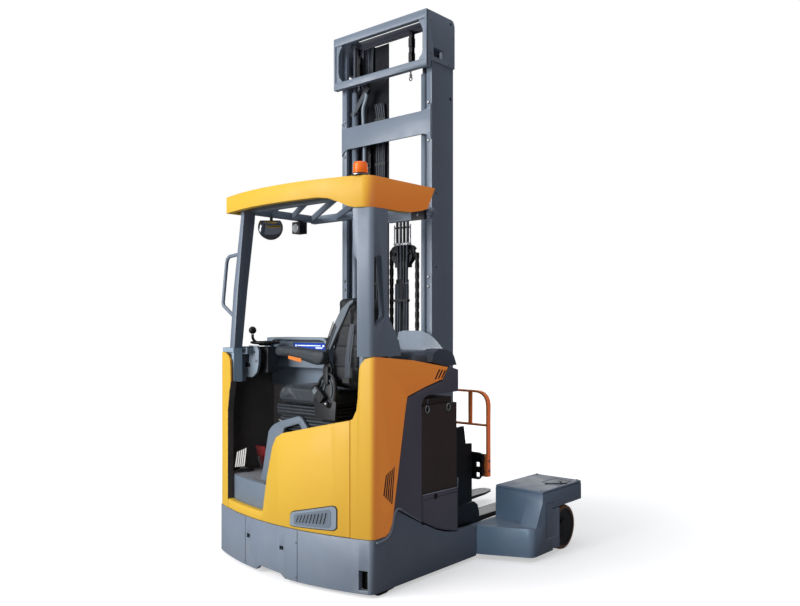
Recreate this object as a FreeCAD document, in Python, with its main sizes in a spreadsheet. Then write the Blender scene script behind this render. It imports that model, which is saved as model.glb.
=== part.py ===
import FreeCAD, Part
import Sketcher
import os
import math

# Multi-directional reach truck, millimetres.  +X is the direction the forks
# point, +Y the operator's entry side, +Z up.  Stations are measured from the
# line through the two rear corners of the body; "origin_x" moves the origin
# to the middle of the machine's length.

doc = FreeCAD.newDocument("reach_truck")
V = FreeCAD.Vector

# ------------------------------------------------------------------ the sheet
sheet = doc.addObject("Spreadsheet::Sheet", "Dims")
_row = [0]
_known = {}


def dim(alias, value):
    """One driving dimension: a plain number in a cell with an alias."""
    if alias in _known:
        return "Dims." + alias
    _row[0] += 1
    cell = "B%d" % _row[0]
    sheet.set("A%d" % _row[0], "'" + alias)
    sheet.set(cell, repr(float(value)))
    sheet.setAlias(cell, alias)
    _known[alias] = float(value)
    return "Dims." + alias


GLOBAL = [
    ("origin_x", 1086.0),
    ("body_half_width", 650.0),
    ("rear_radius", 1790.0),
    ("rear_bulge", 117.0),
    ("panel_wall", 40.0),
    ("skirt_bottom", 20.0),
    ("skirt_top", 302.0),
    ("body_front", 750.0),
    ("leg_inner", 600.0),
    ("leg_outer", 959.0),
    ("leg_bottom", 28.0),
    ("leg_top", 200.0),
    ("pod_top", 390.0),
    ("pod_front", 1675.0),
    ("guard_height", 2200.0),
    ("mast_rear", 822.0),
    ("mast_front", 1040.0),
    ("mast_half_width", 392.0),
    ("mast_height", 3361.0),
    ("fork_tip", 2289.0),
    ("freelift_y", -38.0),
    ("pod_wheel_x", 1465.0),
    ("pod_wheel_y", 905.0),
    ("pod_wheel_r", 140.0),
    ("drive_x", 190.0),
    ("drive_y", 220.0),
    ("drive_r", 171.5),
    ("castor_x", 110.0),
    ("castor_y", 533.0),
    ("castor_r", 62.0),
]
for _a, _v in GLOBAL:
    dim(_a, _v)
doc.recompute()

NODES = []          # (label, object)
_count = {}


def uid(base):
    _count[base] = _count.get(base, 0) + 1
    return "%s_%d" % (base, _count[base])


def bind(obj, prop, base, key, value, shift=False):
    """Bind one property to the sheet.  A number becomes its own cell."""
    if isinstance(value, str):
        expr = value
    else:
        expr = dim("%s_%s" % (base, key), value)
    if shift:
        expr = "%s - Dims.origin_x" % expr
    obj.setExpression(prop, expr)


def G(name):
    return _known[name]


# ------------------------------------------------------- primitive sub-shapes
def box(base, x0, x1, y0, y1, z0, z1):
    n = uid(base)
    o = doc.addObject("Part::Box", n)

    ex = []
    for key, v in (("xa", x0), ("xb", x1), ("ya", y0), ("yb", y1), ("za", z0), ("zb", z1)):
        ex.append(v if isinstance(v, str) else dim(n + "_" + key, v))
    o.setExpression("Length", "%s - (%s)" % (ex[1], ex[0]))
    o.setExpression("Width", "%s - (%s)" % (ex[3], ex[2]))
    o.setExpression("Height", "%s - (%s)" % (ex[5], ex[4]))
    o.setExpression("Placement.Base.x", "%s - Dims.origin_x" % ex[0])
    o.setExpression("Placement.Base.y", ex[2])
    o.setExpression("Placement.Base.z", ex[4])
    return o


def cyl(base, axis, cx, cy, cz, radius, length):
    """Cylinder starting at (cx, cy, cz) and running +length along axis."""
    n = uid(base)
    o = doc.addObject("Part::Cylinder", n)
    bind(o, "Radius", n, "radius", radius)
    bind(o, "Height", n, "length", length)
    rot = {"z": FreeCAD.Rotation(), "x": FreeCAD.Rotation(V(0, 1, 0), 90), "y": FreeCAD.Rotation(V(1, 0, 0), -90)}[axis]
    o.Placement = FreeCAD.Placement(V(0, 0, 0), rot)
    bind(o, "Placement.Base.x", n, "cx", cx, True)
    bind(o, "Placement.Base.y", n, "cy", cy)
    bind(o, "Placement.Base.z", n, "cz", cz)
    return o


def rod(base, p, q, radius):
    """Straight round bar from p to q."""
    n = uid(base)
    o = doc.addObject("Part::Cylinder", n)
    a, b = V(*p), V(*q)
    bind(o, "Radius", n, "radius", radius)
    bind(o, "Height", n, "length", (b - a).Length)
    o.Placement = FreeCAD.Placement(V(0, 0, 0), FreeCAD.Rotation(V(0, 0, 1), b - a))
    bind(o, "Placement.Base.x", n, "cx", a.x, True)
    bind(o, "Placement.Base.y", n, "cy", a.y)
    bind(o, "Placement.Base.z", n, "cz", a.z)
    return o


def prism(base, plane, pts, lo, hi):
    """PartDesign body: a closed outline padded between lo and hi.
    plane XY: points (x, y), padded in z.  XZ: (x, z), padded in y.
    YZ: (y, z), padded in x."""
    n = uid(base)
    body = doc.addObject("PartDesign::Body", n + "_body")
    sk = body.newObject("Sketcher::SketchObject", n + "_sketch")
    role = {"XY": "XY_Plane", "XZ": "XZ_Plane", "YZ": "YZ_Plane"}[plane]
    org = [f for f in body.Origin.OriginFeatures if f.Role == role][0]
    sk.AttachmentSupport = (org, [""])
    sk.MapMode = "FlatFace"
    m = len(pts)
    for i in range(m):
        a, b = pts[i], pts[(i + 1) % m]
        sk.addGeometry(Part.LineSegment(V(a[0], a[1], 0), V(b[0], b[1], 0)), False)
    for i in range(m):
        sk.addConstraint(Sketcher.Constraint("Coincident", i, 2, (i + 1) % m, 1))
    for i in range(m):
        for k, kind in ((0, "DistanceX"), (1, "DistanceY")):
            c = sk.addConstraint(Sketcher.Constraint(kind, -1, 1, i, 1, float(pts[i][k])))
            sk.setExpression("Constraints[%d]" % c, dim("%s_p%d%s" % (n, i, "uv"[k]), pts[i][k]))
    pad = body.newObject("PartDesign::Pad", n + "_pad")
    pad.Profile = sk
    lo_e = lo if isinstance(lo, str) else dim(n + "_lo", lo)
    hi_e = hi if isinstance(hi, str) else dim(n + "_hi", hi)
    pad.setExpression("Length", "%s - (%s)" % (hi_e, lo_e))
    if plane == "XZ":
        # this plane's normal is -Y: pad runs from y=hi down to y=lo
        body.setExpression("Placement.Base.x", "-Dims.origin_x")
        body.setExpression("Placement.Base.y", hi_e)
    elif plane == "XY":
        body.setExpression("Placement.Base.x", "-Dims.origin_x")
        body.setExpression("Placement.Base.z", lo_e)
    else:
        body.setExpression("Placement.Base.x", "%s - Dims.origin_x" % lo_e)
    return body


def fuse(base, *objs):
    if len(objs) == 1:
        return objs[0]
    o = doc.addObject("Part::MultiFuse", uid(base))
    o.Shapes = list(objs)
    return o


def cut(base, a, *tools):
    o = doc.addObject("Part::Cut", uid(base))
    o.Base = a
    o.Tool = tools[0] if len(tools) == 1 else fuse(base + "_tool", *tools)
    return o


def common(base, a, b):
    o = doc.addObject("Part::Common", uid(base))
    o.Base = a
    o.Tool = b
    return o


def mirror_y(base, obj):
    o = doc.addObject("Part::Mirroring", uid(base))
    o.Source = obj
    o.Normal = V(0, 1, 0)
    o.Base = V(0, 0, 0)
    return o


def compound(base, *objs):
    """Solids that belong to one piece but do not touch."""
    o = doc.addObject("Part::Compound", uid(base))
    o.Links = list(objs)
    return o


def fillet(base, obj, radius, pick):
    """Round the edges of obj that pick(edge) accepts."""
    doc.recompute()
    o = doc.addObject("Part::Fillet", uid(base))
    o.Base = obj
    o.Edges = [(i + 1, float(radius), float(radius)) for i, e in enumerate(obj.Shape.Edges) if pick(e)]
    return o


def node(label, obj):
    obj.Label = label
    NODES.append((label, obj))
    return obj


def both(base, obj):
    """A right-hand shape and its mirror image on the left, as one piece."""
    return compound(base, obj, mirror_y(base + "_mir", obj))


BW = "Dims.body_half_width"
NBW = "-Dims.body_half_width"
OX = G("origin_x")


def vertical(e):
    if e.Curve.TypeId != "Part::GeomLine" or len(e.Vertexes) != 2:
        return False
    d = e.Vertexes[1].Point - e.Vertexes[0].Point
    return abs(d.z) > 0.98 * d.Length


def near_xy(e, x, y, tol=3.0):
    c = e.CenterOfMass
    return abs(c.x - (x - OX)) < tol and abs(abs(c.y) - y) < tol


def rear_drum(base, inset, z0, z1):
    """Big vertical cylinder whose rear side is the curved back of the body."""
    n = uid(base)
    o = doc.addObject("Part::Cylinder", n)
    ins = dim(n + "_inset", inset)
    o.setExpression("Radius", "Dims.rear_radius - %s" % ins)
    za, zb = dim(n + "_za", z0), dim(n + "_zb", z1)
    o.setExpression("Height", "%s - %s" % (zb, za))
    o.setExpression("Placement.Base.x", "Dims.rear_radius - Dims.rear_bulge - Dims.origin_x")
    o.setExpression("Placement.Base.z", za)
    return o


# ------------------------------------------------------------------- chassis
def read(alias, value):
    """Put a number in the sheet and read it back from there."""
    dim(alias, value)
    sheet.recompute()
    return float(sheet.get(alias))


def tetra(base, pts):
    """Four-cornered gusset."""
    n = uid(base)
    p = [V(read("%s_%dx" % (n, i), a) - OX, read("%s_%dy" % (n, i), b), read("%s_%dz" % (n, i), c)) for i, (a, b, c) in enumerate(pts)]
    faces = [Part.Face(Part.makePolygon([p[a], p[b], p[c], p[a]])) for a, b, c in ((0, 1, 2), (0, 1, 3), (1, 2, 3), (0, 2, 3))]
    solid = Part.Solid(Part.Shell(faces))
    if solid.Volume < 0:
        solid.reverse()
    o = doc.addObject("Part::Feature", n)
    o.Shape = solid
    return o


raw = common("skirt", box("skirt_blk", -117, "Dims.body_front", NBW, BW, "Dims.skirt_bottom", "Dims.skirt_top"),
             rear_drum("skirt_drum", 0, 10, 320))
raw = fillet("skirt_round", raw, 35, lambda e: vertical(e) and e.CenterOfMass.x < -OX + 60)
cav = common("skirt_cav", box("skirt_cavblk", -90, 712, -630, 630, 0, 274), rear_drum("skirt_cavdrum", 26, -5, 280))
beam_r = prism("chassis_beam", "XZ", [(700, 20), (700, 208), (760, 206), (820, 203), (930, 200), (930, 20)], -650, -606)
# side fairing: sweeps up behind the rear corner and down towards the leg
sweep = prism("side_fairing", "XZ", [(108, 280), (108, 303), (140, 320), (160, 360), (177, 430), (200, 425), (300, 371), (404, 319), (430, 280)], -650, -612)
rim = prism("side_rim", "XZ", [(408, 317), (543, 253), (640, 222), (733, 204), (760, 203), (760, 420), (408, 420)], -670, -612)
hole = box("skirt_hole", -70, 24, -626, -577, 40, 142)
peg = [box("skirt_peg", -140, -40, 219, 253, 183, 208), box("skirt_peg", -140, -40, -90, -58, 173, 196)]
tow = prism("rear_notch", "YZ", [(-102, 0), (-102, 20), (-66, 43), (117, 50), (153, 20), (153, 0)], -140, -40)
DX, DY, DR = G("drive_x"), G("drive_y"), G("drive_r")
node("chassis_frame", cut("chassis_cut", fuse("chassis", raw, beam_r, mirror_y("chassis_beam_l", beam_r), sweep, mirror_y("side_fairing_l", sweep)),
                          cav, cyl("drive_well", "z", DX, DY, 0, 205, 320), rim, mirror_y("side_rim_l", rim), tow, hole, *peg))


# ---------------------------------------------------------------------- legs
def leg():
    deck = prism("leg_deck", "XY", [(932, -600), (932, -640), (1062, -914), (1069, -932), (1081, -948), (1098, -956), (1114, -959), (1675, -959), (1675, -600)], "Dims.leg_bottom", "Dims.leg_top")
    pod = prism("pod_box", "XY", [(1190, -617), (1190, -959), (1675, -959), (1675, -617)], 150, "Dims.pod_top")
    bay = prism("wheel_bay", "XY", [(1311, -990), (1311, -750), (1690, -750), (1690, -990)], 0, 287)
    table = common("yoke_space", cyl("yoke_room", "z", "Dims.pod_wheel_x", "-Dims.pod_wheel_y", 280, 96, 45), box("yoke_side", 1292, 1690, -947, -740, 270, 330))
    chan = box("reach_channel", 936, 1667, -640, -590, 70, 160)
    gus = prism("pod_gusset", "XZ", [(1192, 196), (1192, 345), (1112, 196)], -958, -846)
    return cut("leg", fuse("leg_blk", deck, pod, gus), bay, table, chan)


lr = leg()
node("leg_right", lr)
node("leg_left", mirror_y("leg_left", lr))
lid = prism("pod_lid", "XY", [(1190, -617), (1190, -959), (1675, -959), (1675, -617)], "Dims.pod_top", 407)
node("pod_lids", both("pod_lids", lid))

# --------------------------------------------------------- rear and side panels
ring = cut("rear_ring", common("rear_shell", box("rear_blk", -117, 60, -523, 523, 304, 935), rear_drum("rear_out", 6, 300, 940)),
           rear_drum("rear_in", 46, 290, 950))
entry = prism("entry_gap", "YZ", [(100, 356), (60, 560), (10, 740), (-20, 792), (-75, 820), (-400, 893), (-530, 921), (-560, 940), (-560, 1000), (800, 1000), (800, 356)], -140, 80)
node("rear_panel", cut("rear_panel", ring, entry))

side_r = prism("side_panel", "XZ", [(48, 306), (48, 1252), (330, 1226), (646, 1176), (596, 1110), (440, 1075), (284, 1031), (271, 982), (173, 438), (157, 362), (136, 322), (104, 305)], -652, -612)
vents = []
for i in range(5):
    xa = 88 + 15.5 * i
    vents.append(prism("side_vent", "XZ", [(xa, 524 - 13 * i), (xa + 9, 517 - 13 * i), (xa + 29, 632 + 8 * i), (xa + 20, 627 + 8 * i)], -670, -600))
side_r = cut("side_vented", side_r, *vents)
shell = common("corner_shell", box("corner_blk", -117, 90, -652, -527, 304, 1252), rear_drum("corner_out", 6, 300, 1260))
shell = fillet("corner_round", shell, 34, lambda e: vertical(e) and abs(e.CenterOfMass.y + 652) < 2 and e.CenterOfMass.x < -OX + 40)
corner = cut("corner_ring", shell, rear_drum("corner_in", 46, 290, 1270))
csl = prism("corner_slope", "YZ", [(-520, 921), (-538, 925), (-561, 975), (-568, 1040), (-575, 1190), (-583, 1215), (-608, 1243), (-648, 1253), (-648, 1300), (-500, 1300), (-500, 921)], -140, 60)
corner = cut("corner_panel", corner, csl)
# the entry side keeps a wider post at its corner
left_ring = common("corner_shell_l", box("corner_blk_l", -117, 90, 500, 652, 304, 1252), rear_drum("corner_out_l", 6, 300, 1260))
left_ring = fillet("corner_round_l", left_ring, 34, lambda e: vertical(e) and abs(e.CenterOfMass.y - 652) < 2 and e.CenterOfMass.x < -OX + 40)
left_ring = cut("corner_ring_l", left_ring, rear_drum("corner_in_l", 46, 290, 1270))
csl_l = prism("corner_slope_l", "YZ", [(480, 300), (527, 300), (527, 895), (516, 940), (505, 990), (502, 1060), (505, 1130), (517, 1180), (537, 1214), (560, 1236), (590, 1249), (648, 1253), (648, 1300), (480, 1300)], -140, 60)
left_ring = cut("corner_panel_l", left_ring, csl_l)
node("side_panels", compound("side_panels", fuse("side_panel_r", side_r, corner), fuse("side_panel_l", mirror_y("side_plate_l", side_r), left_ring)))

# grey columns beside the battery with the rail over the battery window,
# and the removable plate that closes the battery bay at the bottom
col = prism("side_column", "XZ", [(178, 436), (276, 980), (290, 1024), (440, 1068), (600, 1100), (664, 1180), (750, 1158), (750, 1030), (470, 1024), (430, 1010), (410, 980), (410, 324), (300, 378), (204, 430)], -650, -614)
low = prism("battery_gate", "XZ", [(416, 324), (416, 468), (748, 463), (748, 212), (733, 213), (640, 231), (543, 262), (470, 297)], -648, -616)
node("side_columns", both("side_columns", compound("side_column_r", col, low)))
node("battery_block", box("battery", 412, 738, -606, 606, 304, 1000))

# ------------------------------------------------------------------------ hood
hp = prism("hood", "XZ", [(404, 1034), (404, 1228), (420, 1262), (640, 1272), (700, 1250), (740, 1190), (752, 1150), (752, 1034)], -608, 608)
hp = fillet("hood_round", hp, 40, lambda e: abs(abs(e.CenterOfMass.y) - 608) < 1 and e.CenterOfMass.z > 1190 and e.CenterOfMass.x > -OX + 410)
wing = prism("hood_wing", "XZ", [(500, 1212), (520, 1262), (560, 1280), (601, 1284), (639, 1277), (697, 1257), (716, 1227), (735, 1186), (664, 1184), (646, 1182), (600, 1189)], -648, -560)
node("hood", fuse("hood_all", hp, wing, mirror_y("hood_wing_l", wing)))
node("mast_screen", both("mast_screen", prism("mast_screen", "YZ", [(-205, 1215), (-168, 1348), (-174, 1376), (-210, 1385), (-356, 1385), (-411, 1367), (-458, 1342), (-545, 1262), (-545, 1215)], 758, 764)))

# ------------------------------------------------------------------------ cab
fl = common("cab_floor", box("floor", -90, 401, -120, 606, 304, 500), rear_drum("floor_drum", 50, 300, 510))
under = common("floor_hollow", box("floor_hlw", -60, 385, 20, 590, 290, 470), rear_drum("floor_hdrum", 66, 280, 480))
node("cab_floor", cut("cab_tub", fuse("cab_tub_blk", fl, box("cab_wall", 401, 409, -606, 606, 304, 1030)), under))
node("seat_pedestal", common("seat_pedestal", box("pedestal", -90, 398, -608, -126, 304, 800), rear_drum("ped_drum", 50, 300, 960)))
rail_o = prism("entry_rail", "YZ", [(262, 502), (243, 558), (215, 680), (188, 795), (165, 822), (133, 843), (80, 864), (-76, 904), (-101, 894), (-148, 848), (-148, 803), (-100, 803), (-100, 760), (70, 740), (130, 600), (160, 502)], 8, 28)
rail_i = prism("entry_grip", "YZ", [(60, 790), (48, 825), (0, 840), (-76, 860), (-98, 842), (-95, 806), (40, 780)], -10, 50)
node("entry_rail", cut("entry_rail", rail_o, rail_i))
dash = [box("dash_cap", 44, 96, 508, 606, 1070, 1250), box("dash_lip", 44, 96, 432, 606, 1242, 1281), box("dash_arm", 95, 396, 497, 606, 1130, 1281),
        box("dash_front", 320, 401, 45, 606, 1156, 1318), box("dash_hood", 340, 401, 45, 606, 1300, 1338),
        box("dash_tub", 384, 401, -300, 606, 1030, 1160),
        prism("dash_bracket", "YZ", [(470, 1292), (404, 1292), (384, 1262), (386, 1180), (402, 1130), (440, 1102), (505, 1100), (523, 1118), (520, 1150), (480, 1165), (470, 1215)], 95, 110)]
node("dash_console", fuse("dash_console", *dash))

node("seat_base", fuse("seat_base", box("seat_bellows", 60, 320, -330, 100, 800, 902), box("seat_pan", 32, 340, -358, 136, 900, 960),
                       prism("seat_hinge", "YZ", [(-385, 905), (-398, 1060), (-385, 1120), (-350, 1156), (-310, 1156), (-290, 1110), (-240, 1040), (-217, 1010), (-230, 905)], -6, 6),
                       box("seat_link", 4, 36, -358, -230, 905, 955), box("arm_link", -22, -4, -345, -310, 1100, 1194)))
node("seat_cushion", prism("seat_cushion", "YZ", [(-390, 963), (80, 963), (103, 985), (106, 1030), (80, 1068), (20, 1078), (-200, 1076), (-390, 1066)], 10, 330))
back_a = prism("seat_backrest", "XZ", [(30, 1080), (30, 1283), (60, 1420), (100, 1520), (140, 1558), (180, 1568), (225, 1562), (262, 1520), (280, 1420), (300, 1283), (300, 1080)], -545, -280)
back_b = prism("seat_recline", "YZ", [(-292, 1070), (-298, 1283), (-362, 1580), (-500, 1580), (-534, 1400), (-534, 1070)], 0, 400)
node("seat_backrest", common("seat_backrest", back_a, back_b))
node("armrest", prism("armrest", "YZ", [(-345, 1280), (-349, 1240), (-325, 1210), (-294, 1197), (-240, 1204), (-60, 1240), (45, 1243), (65, 1262), (62, 1292), (40, 1305), (-100, 1304)], -58, 4))

# ------------------------------------------------------------ overhead guard
pill_out = common("pillar_shell", box("pillar_blk", -117, 235, -646, -540, 1254, 2033), rear_drum("pillar_out", 8, 1240, 2110))
pill_out = fillet("pillar_round", pill_out, 36, lambda e: vertical(e) and e.CenterOfMass.x < -OX + 60 and abs(e.CenterOfMass.y + 646) < 3)
pill_in = common("pillar_hollow", box("pillar_hblk", -117, 300, -606, -500, 1240, 2110), rear_drum("pillar_in", 48, 1230, 2120))
flare = prism("pillar_flare", "XZ", [(130, 2120), (130, 1500), (150, 1440), (190, 1385), (235, 1290), (236, 1240), (300, 1240), (300, 2120)], -660, -500)
lean = prism("pillar_lean", "YZ", [(-562, 1230), (-562, 1760), (-540, 1800), (-500, 1800), (-500, 1230)], -140, 240)
pwin = prism("pillar_window", "XZ", [(26, 1420), (26, 1772), (60, 1787), (76, 1780), (82, 1766), (104, 1474), (98, 1455), (40, 1405)], -700, -600)
upper = cut("pillar_upper", pill_out, pill_in, flare, lean, pwin)
low_out = common("pillar_low", box("pillar_lowblk", -117, 130, -609, -545, 960, 1300), rear_drum("pillar_lowdrum", 47, 940, 1310))
low_in = common("pillar_lowh", box("pillar_lowhblk", -117, 140, -577, -500, 940, 1320), rear_drum("pillar_lowhdrum", 88, 930, 1330))
lower = cut("pillar_lower", low_out, low_in)
stub = [box("pillar_stub", 30, 120, -612, -546, 1960, 2032), box("pillar_stub", 34, 120, -590, -548, 2030, 2103)]
node("guard_pillar", fuse("guard_pillar", upper, lower, *stub))

post = cut("post", prism("guard_post", "YZ", [(476, 1283), (520, 1283), (484, 1633), (411, 2071), (408, 2103), (380, 2103), (382, 2071), (440, 1633)], -20, 64),
           prism("post_taper", "XZ", [(40, 1270), (66, 2110), (90, 2110), (90, 1270)], 300, 600))
hx = 20
grab = [rod("handle", (hx, 440, 1858), (hx, 575, 1846), 11), rod("handle", (hx, 575, 1846), (hx, 597, 1832), 11), rod("handle", (hx, 597, 1832), (hx, 606, 1808), 11),
        rod("handle", (hx, 606, 1808), (hx, 643, 1560), 11), rod("handle", (hx, 643, 1560), (hx, 636, 1540), 11), rod("handle", (hx, 636, 1540), (hx, 490, 1446), 11)]
node("guard_post", fuse("guard_post", post, *grab))

vis_o = common("visor_o", box("visor_blk", -117, 545, -637, 534, 2035, "Dims.guard_height"), rear_drum("visor_drum", 0, 2020, 2210))
vis_o = fillet("visor_round", vis_o, 70, lambda e: vertical(e) and e.CenterOfMass.x < -OX + 60 and e.CenterOfMass.y < 0)
vis_i = common("visor_i", box("visor_iblk", -117, 620, -597, 494, 2010, 2165), rear_drum("visor_idrum", 40, 2000, 2170))
vb = prism("visor_rear_edge", "YZ", [(-330, 2103), (-400, 2093), (-470, 2066), (-520, 2043), (-560, 2034), (-560, 2000), (700, 2000), (700, 2103)], -140, 640)
vs_ = prism("visor_side_edge", "XZ", [(-130, 2000), (-130, 2034.5), (200, 2036), (330, 2040), (430, 2060), (478, 2077), (536, 2186), (545, 2201), (640, 2210), (640, 2000)], -650, -580)
vl = box("visor_left_end", 120, 640, 436, 560, 2000, 2215)
node("guard_visor", cut("guard_visor", vis_o, vis_i, vb, vs_, vl, box("visor_top", 60, 600, -540, 440, 2150, 2230)))
gf = [box("gtube_rear", 34, 74, -590, 488, 2103, 2145), box("gtube_left", 70, 640, 425, 470, 2103, 2145), box("gtube_right", 70, 570, -545, -505, 2103, 2145),
      box("gtube_front", 604, 640, -470, 470, 2097, 2145), box("gtube_drop", 606, 640, -545, -215, 2046, 2099),
      prism("gtube_bend", "XY", [(640, -470), (637, -492), (628, -512), (612, -528), (590, -540), (565, -545), (565, -505), (580, -502), (594, -493), (602, -482), (604, -470)], 2097, 2145)]
ux, uy = 0.56, 0.83
for c in (-178, -39, 100, 239, 378, 517, 656):
    # centre line c*(0.83,-0.56) + t*(0.56,0.83), kept inside the ring of tubes
    ts = []
    for t in range(-1200, 1200, 2):
        x, y = c * uy + t * ux, -c * ux + t * uy
        if 68 < x < 610 and -511 < y < 431:
            ts.append(t)
    if len(ts) < 20:
        continue
    a = (c * uy + ts[0] * ux, -c * ux + ts[0] * uy)
    b = (c * uy + ts[-1] * ux, -c * ux + ts[-1] * uy)
    w = 7
    gf.append(prism("gslat", "XY", [(a[0] - w * uy, a[1] + w * ux), (a[0] + w * uy, a[1] - w * ux), (b[0] + w * uy, b[1] - w * ux), (b[0] - w * uy, b[1] + w * ux)], 2106, 2143))
node("guard_frame", fuse("guard_frame", *gf))

node("beacon", fuse("beacon", cyl("beacon_base", "z", 10, -560, "Dims.guard_height", 46, 16), cyl("beacon_lens", "z", 10, -560, 2216, 38, 62)))
mir = cut("mirror", rod("mirror_disc", (243, 448, 2034), (243 - 0.7554 * 34, 448 - 0.6553 * 34, 2034), 76), box("mirror_top", 100, 400, 300, 600, 2078, 2130))
node("guard_fittings", compound("guard_fittings", fuse("mirror_all", mir, box("mirror_arm", 236, 250, 438, 452, 2060, 2102)),
                                fuse("lamp_left", box("lamp_a", 450, 516, 412, 484, 2018, 2094), box("lamp_arm", 476, 490, 440, 456, 2090, 2102)),
                                box("lamp_b", 586, 605, -523, -423, 2040, 2095)))
node("pedals", compound("pedals", prism("pedal", "XZ", [(250, 502), (262, 502), (212, 640), (196, 660), (188, 650)], 448, 548), prism("pedal", "XZ", [(250, 502), (262, 502), (232, 590), (216, 606), (210, 596)], 310, 380)))

# ---------------------------------------------------------------- steering
node("steering_column", fuse("steering_column", box("sw_block", 150, 230, 365, 492, 1123, 1284), box("sw_arm", 111, 152, 400, 460, 1190, 1250)))
node("steering_wheel", fuse("steering_wheel", cyl("sw_disc", "z", 190, 440, 1302, 92, 18), cyl("sw_neck", "z", 138, 496, 1318, 9, 50), cyl("sw_knob", "z", 138, 496, 1366, 24, 46), cyl("sw_boss", "z", 190, 440, 1291, 40, 12)))

# -------------------------------------------------------------- rear wheels
node("drive_wheel", cut("drive_wheel", cyl("drive_tyre", "y", DX, DY - 70, DR, DR, 140), cyl("drive_bore", "y", DX, DY - 90, DR, 30, 180)))
node("drive_unit", fuse("drive_unit", cyl("drive_turntable", "z", DX, DY, 346, 150, 11), box("drive_arm", DX - 45, DX + 45, DY - 104, DY - 78, 110, 350), cyl("drive_axle", "y", DX, DY - 100, DR, 29.95, 160)))
CX, CY, CR = G("castor_x"), -G("castor_y"), G("castor_r")
node("castor_wheels", cut("castor_wheels", fuse("castor_pair", cyl("castor_tyre", "y", CX, CY - 40, CR, CR, 28), cyl("castor_tyre", "y", CX, CY + 12, CR, CR, 28), cyl("castor_tube", "y", CX, CY - 14, CR, 22, 28)), cyl("castor_bore", "y", CX, CY - 60, CR, 10, 120)))
node("castor_fork", fuse("castor_fork", cyl("castor_table", "z", CX + 20, CY, 236, 70, 32), box("castor_neck", CX - 30, CX + 60, CY - 48, CY + 48, 132, 238), box("castor_cheek", CX - 16, CX + 16, CY - 50, CY - 43, 46, 140), box("castor_cheek", CX - 16, CX + 16, CY + 43, CY + 50, 46, 140), cyl("castor_axle", "y", CX, CY - 50, CR, 9.95, 100)))

# --------------------------------------------------------------- pod wheels
PX, PY, PR = G("pod_wheel_x"), G("pod_wheel_y"), G("pod_wheel_r")
pw = cut("pod_wheel", cyl("pod_tyre", "y", PX, -PY - 45, PR, PR, 95), cyl("pod_bore", "y", PX, -PY - 60, PR, 20, 120))
node("pod_wheel_right", pw)
node("pod_wheel_left", mirror_y("pod_wheel_left", pw))
yk = fuse("pod_yoke", cyl("yoke_table", "z", PX, -PY, 296, 42, 22), box("yoke_bridge", PX - 32, PX + 32, -PY, -PY + 80, 296, 318), box("yoke_arm", PX - 32, PX + 32, -PY + 57, -PY + 80, 96, 300), cyl("yoke_axle", "y", PX, -PY - 52, PR, 19.95, 116),
          prism("yoke_guard", "XZ", [(PX - 138, 36), (PX - 72, 36), (PX - 72, 106), (PX - 40, 110), (PX + 30, 112), (PX + 30, 168), (PX - 40, 170), (PX - 72, 176), (PX - 72, 281), (PX - 138, 281)], -PY - 53.5, -PY - 50.5))
node("pod_yoke_right", yk)
node("pod_yoke_left", mirror_y("pod_yoke_left", yk))

# ------------------------------------------------------------ reach carriage
rc = [box("reach_back", 800, 817, -580, 580, 62, 380), box("reach_floor", 816, 1034, -480, 480, 62, 88)]
arm = prism("reach_arm", "XZ", [(800, 62), (800, 325), (1008, 325), (1044, 300), (1060, 255), (1064, 200), (1098, 186), (1098, 130), (1080, 85), (1050, 62)], -580, -560)
tall = prism("reach_cheek", "XZ", [(816, 62), (816, 720), (900, 780), (1010, 785), (1030, 672), (1095, 668), (1095, 62)], -500, -480)
web = box("reach_web", 816, 1090, -562, -498, 62, 84)
rollers = [cyl("reach_roller", "y", x, -632, 115, 38, 54) for x in (975, 1060)]
side = fuse("reach_side", arm, tall, web, *rollers)
tie = box("reach_tie", 816, 821, -500, -392, 425, 640)
node("reach_carriage", fuse("reach_carriage", *(rc + [side, mirror_y("reach_side_l", side), tie, mirror_y("reach_tie_l", tie)])))


def rail(base, pts, z0, z1):
    a = prism(base, "XY", pts, z0, z1)
    return [a, mirror_y(base + "_l", a)]


outer = rail("outer_rail", [(822, -392), (1040, -392), (1040, -350), (1012, -350), (1012, -372), (847, -372), (847, -350), (822, -350)], 90, "Dims.mast_height")
outer += [box("outer_top", 753, 790, -405, 405, 3305, 3357), box("outer_second", 753, 790, -405, 405, 3010, 3056), box("outer_mid", 812, 826, -388, 388, 2612, 2757), box("outer_low", 818, 826, -478, 478, 120, 420)]
ear = prism("outer_ear", "XZ", [(753, 3010), (753, 3357), (1010, 3357), (1026, 3350), (1036, 3334), (1040, 3315), (1040, 3052), (800, 3052), (792, 3010)], -405, -390)
outer += [ear, mirror_y("outer_ear_l", ear)]
foot = box("outer_foot", 830, 1030, -479, -390, 88.5, 110)
outer += [foot, mirror_y("outer_foot_l", foot)]
slot = box("outer_slot", 823, 924, -412, -368, 3080, 3138)
node("mast_outer", cut("mast_outer_cut", fuse("mast_outer", *outer), slot, mirror_y("outer_slot_l", slot)))
bar = cut("lift_barrel", cyl("lift_tube", "z", 858, -304, 112, 21, 2885), cyl("lift_tube_bore", "z", 858, -304, 130, 13, 2900))
node("lift_barrels", both("lift_barrels", bar))

middle = rail("middle_rail", [(892, -344), (1030, -344), (1030, -308), (1008, -308), (1008, -326), (914, -326), (914, -308), (892, -308)], 100, 3350)
middle += [box("middle_top", 885, 894, -330, 330, 3300, 3350), box("middle_half", 885, 894, -330, 330, 1180, 1240), box("middle_low", 885, 894, -330, 330, 160, 280)]
rodr = cyl("lift_rod", "z", 858, -304, 140, 12.5, 3170)
brk = box("lift_crosshead", 840, 900, -330, -280, 3302, 3346)
middle += [rodr, mirror_y("lift_rod_l", rodr), brk, mirror_y("lift_crosshead_l", brk)]
node("mast_middle", fuse("mast_middle", *middle))

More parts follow.
